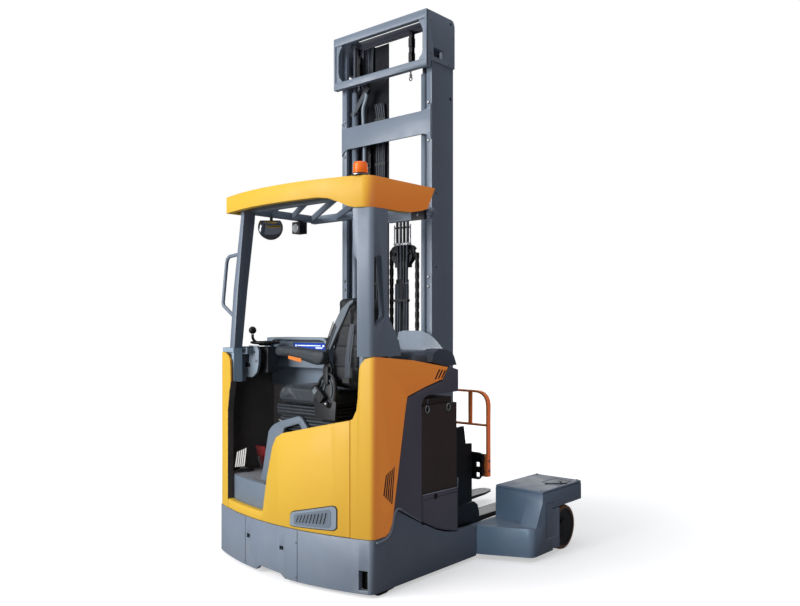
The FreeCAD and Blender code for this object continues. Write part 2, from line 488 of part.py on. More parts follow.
inner = rail("inner_rail", [(900, -302), (1025, -302), (1025, -266), (1005, -266), (1005, -284), (920, -284), (920, -266), (900, -266)], 110, 3345)
inner += [box("inner_top", 900, 912, -290, 290, 3295, 3345), box("inner_half", 900, 912, -290, 290, 1180, 1240), box("inner_low", 900, 912, -290, 290, 120, 220), box("inner_foot", 906, 1000, -102, 26, 112, 128)]
node("mast_inner", fuse("mast_inner", *inner))
FX, FY = 955, G("freelift_y")
node("freelift_barrel", cut("freelift_barrel", cyl("freelift_tube", "z", FX, FY, 128, 43, 1592), cyl("freelift_bore", "z", FX, FY, 150, 25, 1600)))
fh = [cyl("freelift_rod", "z", FX, FY, 160, 24.9, 1670), box("freelift_head", 930, 980, FY - 90, FY + 96, 1820, 1852), cyl("freelift_sheave", "x", 932, FY - 58, 1890, 38, 16), cyl("freelift_sheave", "x", 932, FY + 64, 1890, 38, 16), box("freelift_yoke", 926, 932, FY - 90, FY + 96, 1820, 1950)]
node("freelift_head", fuse("freelift_head", *fh))

# ------------------------------------------------------------- fork carriage
cp = box("carriage_plate", 922, 1062, -245, -225, 140, 640)
cr_ = [cyl("carriage_roller", "y", 962, -279, z, 37, 36) for z in (190, 590)]
cs = fuse("carriage_side", cp, *cr_)
node("carriage_frame", fuse("carriage_frame", cs, mirror_y("carriage_side_l", cs), box("carriage_upper", 1046, 1062, -380, 380, 480, 600), box("carriage_lower", 1046, 1062, -380, 380, 180, 300)))
ss = [box("shift_upper", 1068, 1084, -385, 385, 500, 612), box("shift_lower", 1068, 1084, -385, 385, 170, 260), box("shift_web", 1068, 1084, -300, -240, 258, 502), box("shift_web", 1068, 1084, 240, 300, 258, 502)]
for s_ in (-1, 1):
    ss.append(box("shift_ear", 1082, 1114, min(s_ * 200, s_ * 215), max(s_ * 200, s_ * 215), 560, 612))
    ss.append(cyl("shift_pin", "y", 1100, s_ * 222 - 28, 588, 11.95, 56))
node("sideshift_frame", fuse("sideshift_frame", *ss))
tf = [prism("tilt_beam", "YZ", [(-562, 470), (-562, 600), (-530, 608), (530, 608), (562, 600), (562, 470), (530, 437), (-530, 437)], 1122, 1142),
      box("tilt_lower", 1122, 1142, -450, 450, 190, 260), box("tilt_web", 1122, 1142, -150, -100, 255, 440), box("tilt_web", 1122, 1142, 100, 150, 255, 440)]
tcut = [cyl("tilt_bore", "y", 1100, -260, 588, 12, 520)]
for s_ in (-1, 1):
    tf.append(box("tilt_ear", 1086, 1124, min(s_ * 221, s_ * 236), max(s_ * 221, s_ * 236), 566, 610))
    for z in (452, 517):
        tcut.append(box("tilt_slot", 1110, 1150, min(s_ * 505, s_ * 540), max(s_ * 505, s_ * 540), z, z + 30))
node("tilt_frame", cut("tilt_frame", fuse("tilt_frame", *tf), *tcut))


def fork(side):
    y0, y1 = (-275.0, -125.0) if side < 0 else (125.0, 275.0)
    b = prism("fork", "XZ", [(1146, 640), (1186, 640), (1190, 140), (1200, 108), (1226, 95), (2289, 95), (2289, 83), (1900, 66), (1210, 50), (1160, 60), (1146, 100)], y0, y1)
    taper = prism("fork_tip", "XY", [(2150, y0 - 10), (2150, y0), (2250, y0 + 18), (2289, y0 + 45), (2300, y0 - 10)], 0, 200)
    taper2 = prism("fork_tip", "XY", [(2150, y1 + 10), (2150, y1), (2250, y1 - 18), (2289, y1 - 45), (2300, y1 + 10)], 0, 200)
    return cut("fork", b, taper, taper2)


node("fork_right", fork(-1))
node("fork_left", fork(1))

hoop = cut("hoop", prism("hoop_out", "YZ", [(-586, 456), (-586, 910), (-582, 940), (-568, 968), (-545, 988), (-516, 998), (-490, 1000), (490, 1000), (516, 998), (545, 988), (568, 968), (582, 940), (586, 910), (586, 456)], 1144, 1179),
           prism("hoop_in", "YZ", [(-574, 440), (-574, 908), (-570, 934), (-558, 959), (-538, 977), (-512, 986), (-489, 988), (489, 988), (512, 986), (538, 977), (558, 959), (570, 934), (574, 908), (574, 440)], 1130, 1210))
br = [hoop, box("rest_mid", 1144, 1179, -576, 576, 775, 787)]
for y in (-440, -220, 0, 220, 440):
    br.append(box("rest_bar", 1152, 1172, y - 10, y + 10, 785, 990))
for s_ in (-1, 1):
    br.append(box("rest_foot", 1143, 1150, min(s_ * 550, s_ * 580), max(s_ * 550, s_ * 580), 456, 600))
node("load_backrest", fuse("load_backrest", *br))

# ---------------------------------------------------------------- check, write
doc.recompute()
bad = [o.Name for o in doc.Objects if "Invalid" in o.State or "Error" in o.State]
if bad:
    raise SystemExit("objects failed: %s" % bad)
os.makedirs("parts", exist_ok=True)
seen = set()
for label, obj in NODES:
    shp = obj.Shape
    if shp.isNull() or not shp.isValid() or shp.Volume <= 0:
        raise SystemExit("bad shape: %s" % label)
    if label in seen:
        raise SystemExit("twice: %s" % label)
    seen.add(label)
for f in os.listdir("parts"):
    if f.endswith(".step") and f[:-5] not in seen:
        os.remove(os.path.join("parts", f))
for label, obj in NODES:
    obj.Shape.exportStep(os.path.join("parts", label + ".step"))
    b = obj.Shape.BoundBox
    print("%-18s solids %d  vol %.5f m3  x %.0f %.0f  y %.0f %.0f  z %.0f %.0f" % (label, len(obj.Shape.Solids), obj.Shape.Volume / 1e9, b.XMin, b.XMax, b.YMin, b.YMax, b.ZMin, b.ZMax))
print("nodes", len(NODES))
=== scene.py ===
import bpy, bmesh, math
from mathutils import Vector, Matrix


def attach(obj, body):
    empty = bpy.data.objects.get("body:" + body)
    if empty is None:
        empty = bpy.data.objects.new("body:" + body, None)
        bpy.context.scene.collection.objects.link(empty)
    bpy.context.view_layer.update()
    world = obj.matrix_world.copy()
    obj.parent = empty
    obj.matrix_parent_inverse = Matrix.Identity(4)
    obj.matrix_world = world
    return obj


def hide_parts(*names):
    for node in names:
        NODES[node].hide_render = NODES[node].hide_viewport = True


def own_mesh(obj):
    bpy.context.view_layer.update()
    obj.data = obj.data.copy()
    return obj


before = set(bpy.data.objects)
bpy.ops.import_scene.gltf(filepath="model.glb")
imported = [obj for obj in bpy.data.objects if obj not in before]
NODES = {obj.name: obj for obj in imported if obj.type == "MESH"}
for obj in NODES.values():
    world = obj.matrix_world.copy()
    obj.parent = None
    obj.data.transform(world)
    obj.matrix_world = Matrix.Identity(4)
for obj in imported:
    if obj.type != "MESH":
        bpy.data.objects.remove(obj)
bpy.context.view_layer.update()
SCN = bpy.context.scene
OX = 1086.0


def P(x, y, z):
    """Working millimetres (X counted from the rear corner) to metres in the row frame."""
    return Vector(((x - OX) / 1000.0, y / 1000.0, z / 1000.0))


# =====================================================================
# materials
# =====================================================================
MATS = {}


def surface(name, rgb, rough=0.5, metal=0.0, var=0.05, scale=5.0, grain=0.0, grain_scale=900.0, dist=0.0004,
            rvar=0.08, wear=None, wear_amt=0.6, dust=0.0, coat=0.0, sheen=0.0, spec=0.5, streak=0.0, cells=False, mottled=None, polished=None):
    """Procedural surface: colour drift, roughness drift, fine grain, worn edges and dust low down."""
    m = bpy.data.materials.new(name)
    m.use_nodes = True
    nt = m.node_tree
    n, l = nt.nodes, nt.links
    b = n["Principled BSDF"]
    b.inputs["Metallic"].default_value = metal
    b.inputs["Specular IOR Level"].default_value = spec
    b.inputs["Coat Weight"].default_value = coat
    b.inputs["Coat Roughness"].default_value = 0.12
    b.inputs["Sheen Weight"].default_value = sheen
    tc = n.new("ShaderNodeTexCoord")
    co = tc.outputs["Object"]

    def noise(sc, det=3.0, rough_=0.55, vec=None):
        t = n.new("ShaderNodeTexNoise")
        t.inputs["Scale"].default_value = sc
        t.inputs["Detail"].default_value = det
        t.inputs["Roughness"].default_value = rough_
        l.new(vec or co, t.inputs["Vector"])
        return t.outputs["Fac"]

    def remap(v, a, b_, c, d):
        t = n.new("ShaderNodeMapRange")
        t.inputs["From Min"].default_value = a
        t.inputs["From Max"].default_value = b_
        t.inputs["To Min"].default_value = c
        t.inputs["To Max"].default_value = d
        l.new(v, t.inputs["Value"])
        return t.outputs["Result"]

    def mix(f, a, b_):
        t = n.new("ShaderNodeMix")
        t.data_type = "RGBA"
        l.new(f, t.inputs["Factor"])
        for i, v in ((6, a), (7, b_)):
            if isinstance(v, tuple):
                t.inputs[i].default_value = (*v, 1)
            else:
                l.new(v, t.inputs[i])
        return t.outputs[2]

    def mul(a, b_):
        t = n.new("ShaderNodeMath")
        t.operation = "MULTIPLY"
        l.new(a, t.inputs[0])
        if isinstance(b_, float):
            t.inputs[1].default_value = b_
        else:
            l.new(b_, t.inputs[1])
        return t.outputs[0]

    lo = tuple(c * (1 - var) for c in rgb)
    hi = tuple(min(1.0, c * (1 + var)) for c in rgb)
    big = noise(scale, 4.0)
    col = mix(remap(big, 0.3, 0.7, 0.0, 1.0), lo, hi)
    if mottled:
        col = mix(remap(noise(scale * 7, 5.0), 0.52, 0.75, 0.0, 0.8), col, mottled)
    if streak:
        mp = n.new("ShaderNodeMapping")
        mp.inputs["Scale"].default_value = (1.0, 1.0, 0.06)
        l.new(co, mp.inputs["Vector"])
        st = noise(60.0, 3.0, 0.6, mp.outputs["Vector"])
        col = mix(remap(st, 0.55, 0.8, 0.0, streak), col, tuple(c * 0.6 for c in rgb))
    rg = remap(noise(scale * 3 + 4, 3.0), 0.3, 0.7, max(0.03, rough - rvar), min(1.0, rough + rvar))
    if wear:
        bv = n.new("ShaderNodeBevel")
        bv.samples = 4
        bv.inputs["Radius"].default_value = 0.004
        ge = n.new("ShaderNodeNewGeometry")
        dt = n.new("ShaderNodeVectorMath")
        dt.operation = "DOT_PRODUCT"
        l.new(bv.outputs["Normal"], dt.inputs[0])
        l.new(ge.outputs["Normal"], dt.inputs[1])
        ed = remap(dt.outputs["Value"], 0.80, 0.985, 1.0, 0.0)
        ed = mul(ed, remap(noise(38.0, 4.0), 0.42, 0.66, 0.0, wear_amt))
        col = mix(ed, col, wear)
    if polished:
        # upward faces near the floor rubbed bright by loads
        ge2 = n.new("ShaderNodeNewGeometry")
        s1 = n.new("ShaderNodeSeparateXYZ")
        l.new(ge2.outputs["Normal"], s1.inputs[0])
        s2 = n.new("ShaderNodeSeparateXYZ")
        l.new(co, s2.inputs[0])
        up = mul(remap(s1.outputs["Z"], 0.6, 0.9, 0.0, 1.0), remap(s2.outputs["Z"], 0.11, 0.14, 1.0, 0.0))
        up = mul(up, remap(noise(14.0, 5.0, 0.6), 0.3, 0.5, 0.75, 1.0))
        col = mix(up, col, polished)
    if dust:
        sp = n.new("ShaderNodeSeparateXYZ")
        l.new(co, sp.inputs[0])
        dz = remap(sp.outputs["Z"], 0.0, 0.42, 1.0, 0.0)
        dz = mul(dz, remap(noise(9.0, 5.0, 0.65), 0.4, 0.75, 0.1, 1.0))
        dz = mul(dz, dust)
        col = mix(dz, col, (0.34, 0.31, 0.28))
    l.new(col, b.inputs["Base Color"])
    l.new(rg, b.inputs["Roughness"])
    if grain:
        bp = n.new("ShaderNodeBump")
        bp.inputs["Strength"].default_value = grain
        bp.inputs["Distance"].default_value = dist
        if cells:
            vo = n.new("ShaderNodeTexVoronoi")
            vo.feature = "DISTANCE_TO_EDGE"
            vo.inputs["Scale"].default_value = grain_scale
            l.new(co, vo.inputs["Vector"])
            l.new(remap(vo.outputs["Distance"], 0.0, 0.25, 0.0, 1.0), bp.inputs["Height"])
        else:
            l.new(noise(grain_scale, 2.0), bp.inputs["Height"])
        l.new(bp.outputs["Normal"], b.inputs["Normal"])
        if coat:
            l.new(bp.outputs["Normal"], b.inputs["Coat Normal"])
    MATS[name] = m
    return m


surface("yellow_paint", (0.87, 0.53, 0.052), 0.52, var=0.018, scale=1.2, grain=0.05, grain_scale=420.0, wear=(0.93, 0.66, 0.25), wear_amt=0.3, dust=0.04, coat=0.04, spec=0.32)
surface("grey_paint", (0.205, 0.25, 0.315), 0.42, var=0.05, scale=3.0, grain=0.06, grain_scale=520.0, wear=(0.42, 0.46, 0.52), wear_amt=0.55, dust=0.22, coat=0.1)
surface("dark_paint", (0.066, 0.070, 0.098), 0.45, var=0.06, scale=3.0, grain=0.06, grain_scale=520.0, wear=(0.22, 0.24, 0.28), wear_amt=0.5, dust=0.25)
surface("grey_plastic", (0.18, 0.225, 0.28), 0.55, var=0.05, scale=4.0, grain=0.35, grain_scale=1100.0, dist=0.0003, wear=(0.30, 0.35, 0.40), wear_amt=0.3)
surface("light_plastic", (0.29, 0.35, 0.41), 0.5, var=0.04, scale=4.0, grain=0.3, grain_scale=1100.0, dist=0.0003)
surface("black_paint", (0.013, 0.014, 0.017), 0.38, var=0.12, scale=4.0, grain=0.08, grain_scale=500.0, wear=(0.10, 0.10, 0.11), wear_amt=0.6, dust=0.1)
surface("black_plastic", (0.012, 0.013, 0.015), 0.48, var=0.12, scale=6.0, grain=0.4, grain_scale=1300.0, dist=0.0002)
surface("battery_black", (0.062, 0.046, 0.040), 0.62, var=0.10, scale=4.0, grain=0.25, grain_scale=350.0, mottled=(0.074, 0.050, 0.040), dust=0.06, streak=0.15, spec=0.3)
surface("column_paint", (0.115, 0.110, 0.145), 0.48, var=0.06, scale=3.0, grain=0.06, grain_scale=520.0, wear=(0.25, 0.26, 0.30), wear_amt=0.5, dust=0.12)
surface("hood_paint", (0.128, 0.148, 0.192), 0.45, var=0.05, scale=3.0, grain=0.06, grain_scale=520.0, wear=(0.30, 0.33, 0.38), wear_amt=0.5, dust=0.1, coat=0.05)
# slot_light glows as painted light: it stands in for daylight behind the vent slots
surface("slot_light", (0.82, 0.82, 0.80), 0.7, var=0.03, scale=20.0, grain=0.1, grain_scale=500.0)
for k_, v_ in (("Emission Color", (1.0, 1.0, 0.98, 1.0)), ("Emission Strength", 0.62)):
    MATS["slot_light"].node_tree.nodes["Principled BSDF"].inputs[k_].default_value = v_
# darker copy of the black vinyl: painted shade on the backrest
surface("vinyl_painted_shade", (0.011, 0.012, 0.015), 0.5, var=0.12, scale=14.0, grain=0.5, grain_scale=420.0, dist=0.0005, cells=True)
surface("mast_black", (0.010, 0.011, 0.014), 0.7, var=0.2, scale=9.0, grain=0.2, grain_scale=300.0, streak=0.3, spec=0.2)
# lighter grey: painted highlight on rolled lips and edges, with real edge wear
surface("painted_highlight_grey", (0.36, 0.41, 0.47), 0.42, var=0.05, scale=5.0, grain=0.1, grain_scale=520.0, wear=(0.55, 0.58, 0.62), wear_amt=0.4)
surface("black_vinyl", (0.027, 0.035, 0.044), 0.44, var=0.12, scale=14.0, grain=0.55, grain_scale=420.0, dist=0.0005, cells=True, sheen=0.08)
# lighter grey vinyl: grey trim, and painted highlight on the lit face of the backrest bolster
surface("grey_vinyl_and_painted_highlight", (0.17, 0.20, 0.23), 0.5, var=0.08, scale=14.0, grain=0.5, grain_scale=420.0, dist=0.0005, cells=True)
surface("red_paint", (0.42, 0.018, 0.022), 0.42, var=0.08, scale=10.0, grain=0.1, grain_scale=600.0, wear=(0.6, 0.2, 0.18), wear_amt=0.6)
surface("orange_paint", (0.93, 0.40, 0.085), 0.46, var=0.04, scale=4.0, grain=0.06, grain_scale=500.0, wear=(0.8, 0.5, 0.25), wear_amt=0.5)
surface("fork_steel", (0.030, 0.030, 0.034), 0.45, metal=0.35, polished=(0.42, 0.42, 0.41), var=0.2, scale=9.0, grain=0.15, grain_scale=160.0, wear=(0.30, 0.29, 0.28), wear_amt=0.9, mottled=(0.10, 0.085, 0.07))
surface("polyurethane", (0.40, 0.17, 0.07), 0.55, var=0.1, scale=14.0, grain=0.25, grain_scale=260.0, dust=0.35, mottled=(0.24, 0.11, 0.05))
surface("rubber", (0.010, 0.010, 0.011), 0.62, var=0.15, scale=12.0, grain=0.25, grain_scale=600.0)
surface("hose", (0.018, 0.021, 0.027), 0.42, var=0.1, scale=12.0, grain=0.3, grain_scale=900.0)
surface("hose_cover", (0.055, 0.065, 0.085), 0.5, var=0.1, scale=12.0, grain=0.3, grain_scale=700.0)
surface("chain_steel", (0.020, 0.020, 0.022), 0.38, metal=0.7, var=0.2, scale=30.0, grain=0.2, grain_scale=500.0, wear=(0.25, 0.24, 0.23), wear_amt=0.7)
surface("bright_steel", (0.62, 0.63, 0.65), 0.28, metal=1.0, var=0.06, scale=20.0, grain=0.08, grain_scale=300.0)
surface("zinc", (0.42, 0.43, 0.44), 0.38, metal=0.85, var=0.08, scale=30.0, grain=0.15, grain_scale=400.0)
surface("cab_lining", (0.045, 0.042, 0.042), 0.75, var=0.2, scale=5.0, grain=0.5, grain_scale=900.0)
surface("floor_mat", (0.20, 0.21, 0.23), 0.78, var=0.1, scale=6.0, grain=0.5, grain_scale=380.0, mottled=(0.17, 0.13, 0.11))
# near-black: painted shade inside holes, slots, sockets and recesses
surface("painted_hole_shade", (0.010, 0.009, 0.009), 0.8, var=0.2, scale=8.0, grain=0.2, grain_scale=500.0)
surface("orange_tag", (0.90, 0.24, 0.02), 0.55, var=0.05, scale=40.0, grain=0.3, grain_scale=1500.0)
surface("seam_dark", (0.05, 0.025, 0.008), 0.8, var=0.1, scale=30.0, grain=0.1)
# near-black lines: dark seams, and painted shade along the pod side recess
surface("dark_seam_and_shade", (0.014, 0.015, 0.018), 0.8, var=0.1, scale=30.0, grain=0.1)


def lens(name, rgb, rough, trans, ior=1.45, emit=0.0, ribs=0.0):
    m = bpy.data.materials.new(name)
    m.use_nodes = True
    n, l = m.node_tree.nodes, m.node_tree.links
    b = n["Principled BSDF"]
    b.inputs["Transmission Weight"].default_value = trans
    b.inputs["IOR"].default_value = ior
    tc = n.new("ShaderNodeTexCoord")
    t = n.new("ShaderNodeTexNoise")
    t.inputs["Scale"].default_value = 30.0
    l.new(tc.outputs["Object"], t.inputs["Vector"])
    mx = n.new("ShaderNodeMix")
    mx.data_type = "RGBA"
    l.new(t.outputs["Fac"], mx.inputs["Factor"])
    mx.inputs[6].default_value = (*[c * 0.93 for c in rgb], 1)
    mx.inputs[7].default_value = (*[min(1, c * 1.07) for c in rgb], 1)
    l.new(mx.outputs[2], b.inputs["Base Color"])
    mr = n.new("ShaderNodeMapRange")
    mr.inputs["To Min"].default_value = max(0.0, rough - 0.03)
    mr.inputs["To Max"].default_value = rough + 0.05
    l.new(t.outputs["Fac"], mr.inputs["Value"])
    l.new(mr.outputs["Result"], b.inputs["Roughness"])
    if emit:
        b.inputs["Emission Color"].default_value = (*rgb, 1)
        b.inputs["Emission Strength"].default_value = emit
    if ribs:
        w = n.new("ShaderNodeTexWave")
        w.bands_direction = "Z"
        w.inputs["Scale"].default_value = ribs
        l.new(tc.outputs["Object"], w.inputs["Vector"])
        bp = n.new("ShaderNodeBump")
        bp.inputs["Strength"].default_value = 0.5
        bp.inputs["Distance"].default_value = 0.001
        l.new(w.outputs["Fac"], bp.inputs["Height"])
        l.new(bp.outputs["Normal"], b.inputs["Normal"])
    MATS[name] = m
    return m


lens("amber_lens", (0.95, 0.20, 0.02), 0.12, 0.25, emit=0.28, ribs=60.0)
lens("clear_screen", (0.40, 0.46, 0.54), 0.22, 0.22)
lens("mirror_glass", (0.80, 0.82, 0.85), 0.04, 0.0)
MATS["mirror_glass"].node_tree.nodes["Principled BSDF"].inputs["Metallic"].default_value = 1.0
lens("lamp_glass", (0.75, 0.78, 0.80), 0.08, 0.4)


def display_material():
    """Blue field with a few pale bars, drawn in object coordinates."""
    m = bpy.data.materials.new("display")
    m.use_nodes = True
    n, l = m.node_tree.nodes, m.node_tree.links
    b = n["Principled BSDF"]
    tc = n.new("ShaderNodeTexCoord")
    sp = n.new("ShaderNodeSeparateXYZ")
    l.new(tc.outputs["Object"], sp.inputs[0])

    def band(sock, a, c):
        g = n.new("ShaderNodeMath"); g.operation = "GREATER_THAN"; g.inputs[1].default_value = a; l.new(sock, g.inputs[0])
        h = n.new("ShaderNodeMath"); h.operation = "LESS_THAN"; h.inputs[1].default_value = c; l.new(sock, h.inputs[0])
        k = n.new("ShaderNodeMath"); k.operation = "MULTIPLY"; l.new(g.outputs[0], k.inputs[0]); l.new(h.outputs[0], k.inputs[1])
        return k.outputs[0]

    def both_(a, c):
        k = n.new("ShaderNodeMath"); k.operation = "MULTIPLY"; l.new(a, k.inputs[0]); l.new(c, k.inputs[1])
        return k.outputs[0]

    def either(a, c):
        k = n.new("ShaderNodeMath"); k.operation = "MAXIMUM"; l.new(a, k.inputs[0]); l.new(c, k.inputs[1])
        return k.outputs[0]

    pale = both_(band(sp.outputs["Z"], 1.290, 1.296), band(sp.outputs["Y"], 0.06, 0.27))
    pale = either(pale, both_(band(sp.outputs["Z"], 1.276, 1.284), band(sp.outputs["Y"], 0.045, 0.105)))
    pale = either(pale, both_(band(sp.outputs["Z"], 1.286, 1.298), band(sp.outputs["Y"], 0.028, 0.045)))
    pale = either(pale, both_(band(sp.outputs["Z"], 1.286, 1.298), band(sp.outputs["Y"], 0.278, 0.290)))
    t = n.new("ShaderNodeTexNoise"); t.inputs["Scale"].default_value = 25.0
    l.new(tc.outputs["Object"], t.inputs["Vector"])
    bl = n.new("ShaderNodeMix"); bl.data_type = "RGBA"
    l.new(t.outputs["Fac"], bl.inputs["Factor"])
    bl.inputs[6].default_value = (0.008, 0.025, 0.22, 1)
    bl.inputs[7].default_value = (0.03, 0.09, 0.50, 1)
    mx = n.new("ShaderNodeMix"); mx.data_type = "RGBA"
    l.new(pale, mx.inputs["Factor"])
    l.new(bl.outputs[2], mx.inputs[6])
    mx.inputs[7].default_value = (0.75, 0.85, 1.0, 1)
    l.new(mx.outputs[2], b.inputs["Base Color"])
    l.new(mx.outputs[2], b.inputs["Emission Color"])
    b.inputs["Emission Strength"].default_value = 0.45
    mr = n.new("ShaderNodeMapRange"); mr.inputs["To Min"].default_value = 0.1; mr.inputs["To Max"].default_value = 0.2
    l.new(t.outputs["Fac"], mr.inputs["Value"]); l.new(mr.outputs["Result"], b.inputs["Roughness"])
    MATS["display"] = m


display_material()



def pressed_panel_painted_shade(name, src_rgb):
    """Leg paint: the grey finish with the pressed outline of the side cover painted in, dark bands as painted shade
    along its rear and top edge and a pale band as painted highlight along its bottom edge (metres, object space).
    """
    m = surface(name, src_rgb, 0.42, var=0.05, scale=3.0, grain=0.06, grain_scale=520.0, wear=(0.42, 0.46, 0.52), wear_amt=0.55, dust=0.22, coat=0.1)
    n, l = m.node_tree.nodes, m.node_tree.links
    b = n["Principled BSDF"]
    old = b.inputs["Base Color"].links[0].from_socket
    tc = n.new("ShaderNodeTexCoord")
    sp = n.new("ShaderNodeSeparateXYZ")
    l.new(tc.outputs["Object"], sp.inputs[0])
    ab = n.new("ShaderNodeMath"); ab.operation = "ABSOLUTE"
    l.new(sp.outputs["Y"], ab.inputs[0])

    def gate(sock, lo, hi):
        a = n.new("ShaderNodeMath"); a.operation = "GREATER_THAN"; a.inputs[1].default_value = lo
        c = n.new("ShaderNodeMath"); c.operation = "LESS_THAN"; c.inputs[1].default_value = hi
        d = n.new("ShaderNodeMath"); d.operation = "MULTIPLY"
        l.new(sock, a.inputs[0]); l.new(sock, c.inputs[0]); l.new(a.outputs[0], d.inputs[0]); l.new(c.outputs[0], d.inputs[1])
        return d.outputs[0]

    cur = old
    # dark bands: painted shade along the rear and top edge of the pressed cover; pale band: painted highlight along its
    # bottom edge
    for x0, x1, z0, z1, rgb in ((1234, 1240, 105, 326, (0.035, 0.045, 0.06)), (1240, 1330, 322, 326, (0.05, 0.06, 0.075)), (1240, 1330, 104, 111, (0.42, 0.47, 0.52))):
        g1 = gate(sp.outputs["X"], (x0 - OX) / 1000, (x1 - OX) / 1000)
        g2 = gate(sp.outputs["Z"], z0 / 1000, z1 / 1000)
        g3 = gate(ab.outputs[0], 0.9565, 0.97)
        q = n.new("ShaderNodeMath"); q.operation = "MULTIPLY"; l.new(g1, q.inputs[0]); l.new(g2, q.inputs[1])
        r = n.new("ShaderNodeMath"); r.operation = "MULTIPLY"; l.new(q.outputs[0], r.inputs[0]); l.new(g3, r.inputs[1])
        t = n.new("ShaderNodeMix"); t.data_type = "RGBA"
        l.new(r.outputs[0], t.inputs["Factor"]); l.new(cur, t.inputs[6]); t.inputs[7].default_value = (*rgb, 1)
        cur = t.outputs[2]
    l.new(cur, b.inputs["Base Color"])


pressed_panel_painted_shade("leg_paint_painted_edges", (0.205, 0.25, 0.315))

# =====================================================================
# CAD nodes: finish and softened edges
# =====================================================================
NODE_MAT = {"hood": "hood_paint", "leg_right": "leg_paint_painted_edges", "leg_left": "leg_paint_painted_edges", "mast_middle": "dark_paint", "mast_inner": "dark_paint", "side_columns": "column_paint", "drive_unit": "black_paint"}
BEVEL = {"mast_outer": 2.0, "mast_middle": 1.5, "mast_inner": 1.5, "guard_frame": 3.0, "pod_lids": 5.0, "leg_right": 6.0, "leg_left": 6.0, "chassis_frame": 5.0,
         "rear_panel": 3.0, "side_panels": 4.0, "hood": 5.0, "side_columns": 4.0, "guard_visor": 4.0, "guard_pillar": 4.0, "guard_post": 2.5, "seat_pedestal": 8.0,
         "mast_screen": 1.0, "tilt_frame": 2.0, "load_backrest": 2.0, "dash_console": 6.0, "seat_base": 4.0, "battery_block": 3.0, "entry_rail": 4.0,
         "lift_barrels": 0.0, "freelift_barrel": 0.0, "pod_wheel_right": 2.0, "pod_wheel_left": 2.0, "cab_floor": 4.0, "steering_wheel": 3.0, "steering_column": 6.0}


def soften(o, width, angle=32, segs=2, dissolve=True):
    w = o.modifiers.new("weld", "WELD")
    w.merge_threshold = 0.00003
    if dissolve:
        d = o.modifiers.new("planar", "DECIMATE")
        d.decimate_type = "DISSOLVE"
        d.angle_limit = math.radians(0.6)
    if width:
        b = o.modifiers.new("edge", "BEVEL")
        b.width = width / 1000.0
        b.segments = segs
        b.limit_method = "ANGLE"
        b.angle_limit = math.radians(angle)
        b.use_clamp_overlap = True
        b.harden_normals = True
        b.miter_outer = "MITER_ARC"


for name, o in NODES.items():
    slotname = o.material_slots[0].material.name if o.material_slots else "grey_paint"
    slotname = slotname.split(".")[0]
    m = MATS.get(NODE_MAT.get(name, slotname)) or MATS["grey_paint"]
    for s in o.material_slots:
        s.material = m
    if not o.material_slots:
        o.data.materials.append(m)
    o.data.polygons.foreach_set("use_smooth", [True] * len(o.data.polygons))
    soften(o, BEVEL.get(name, 2.0))


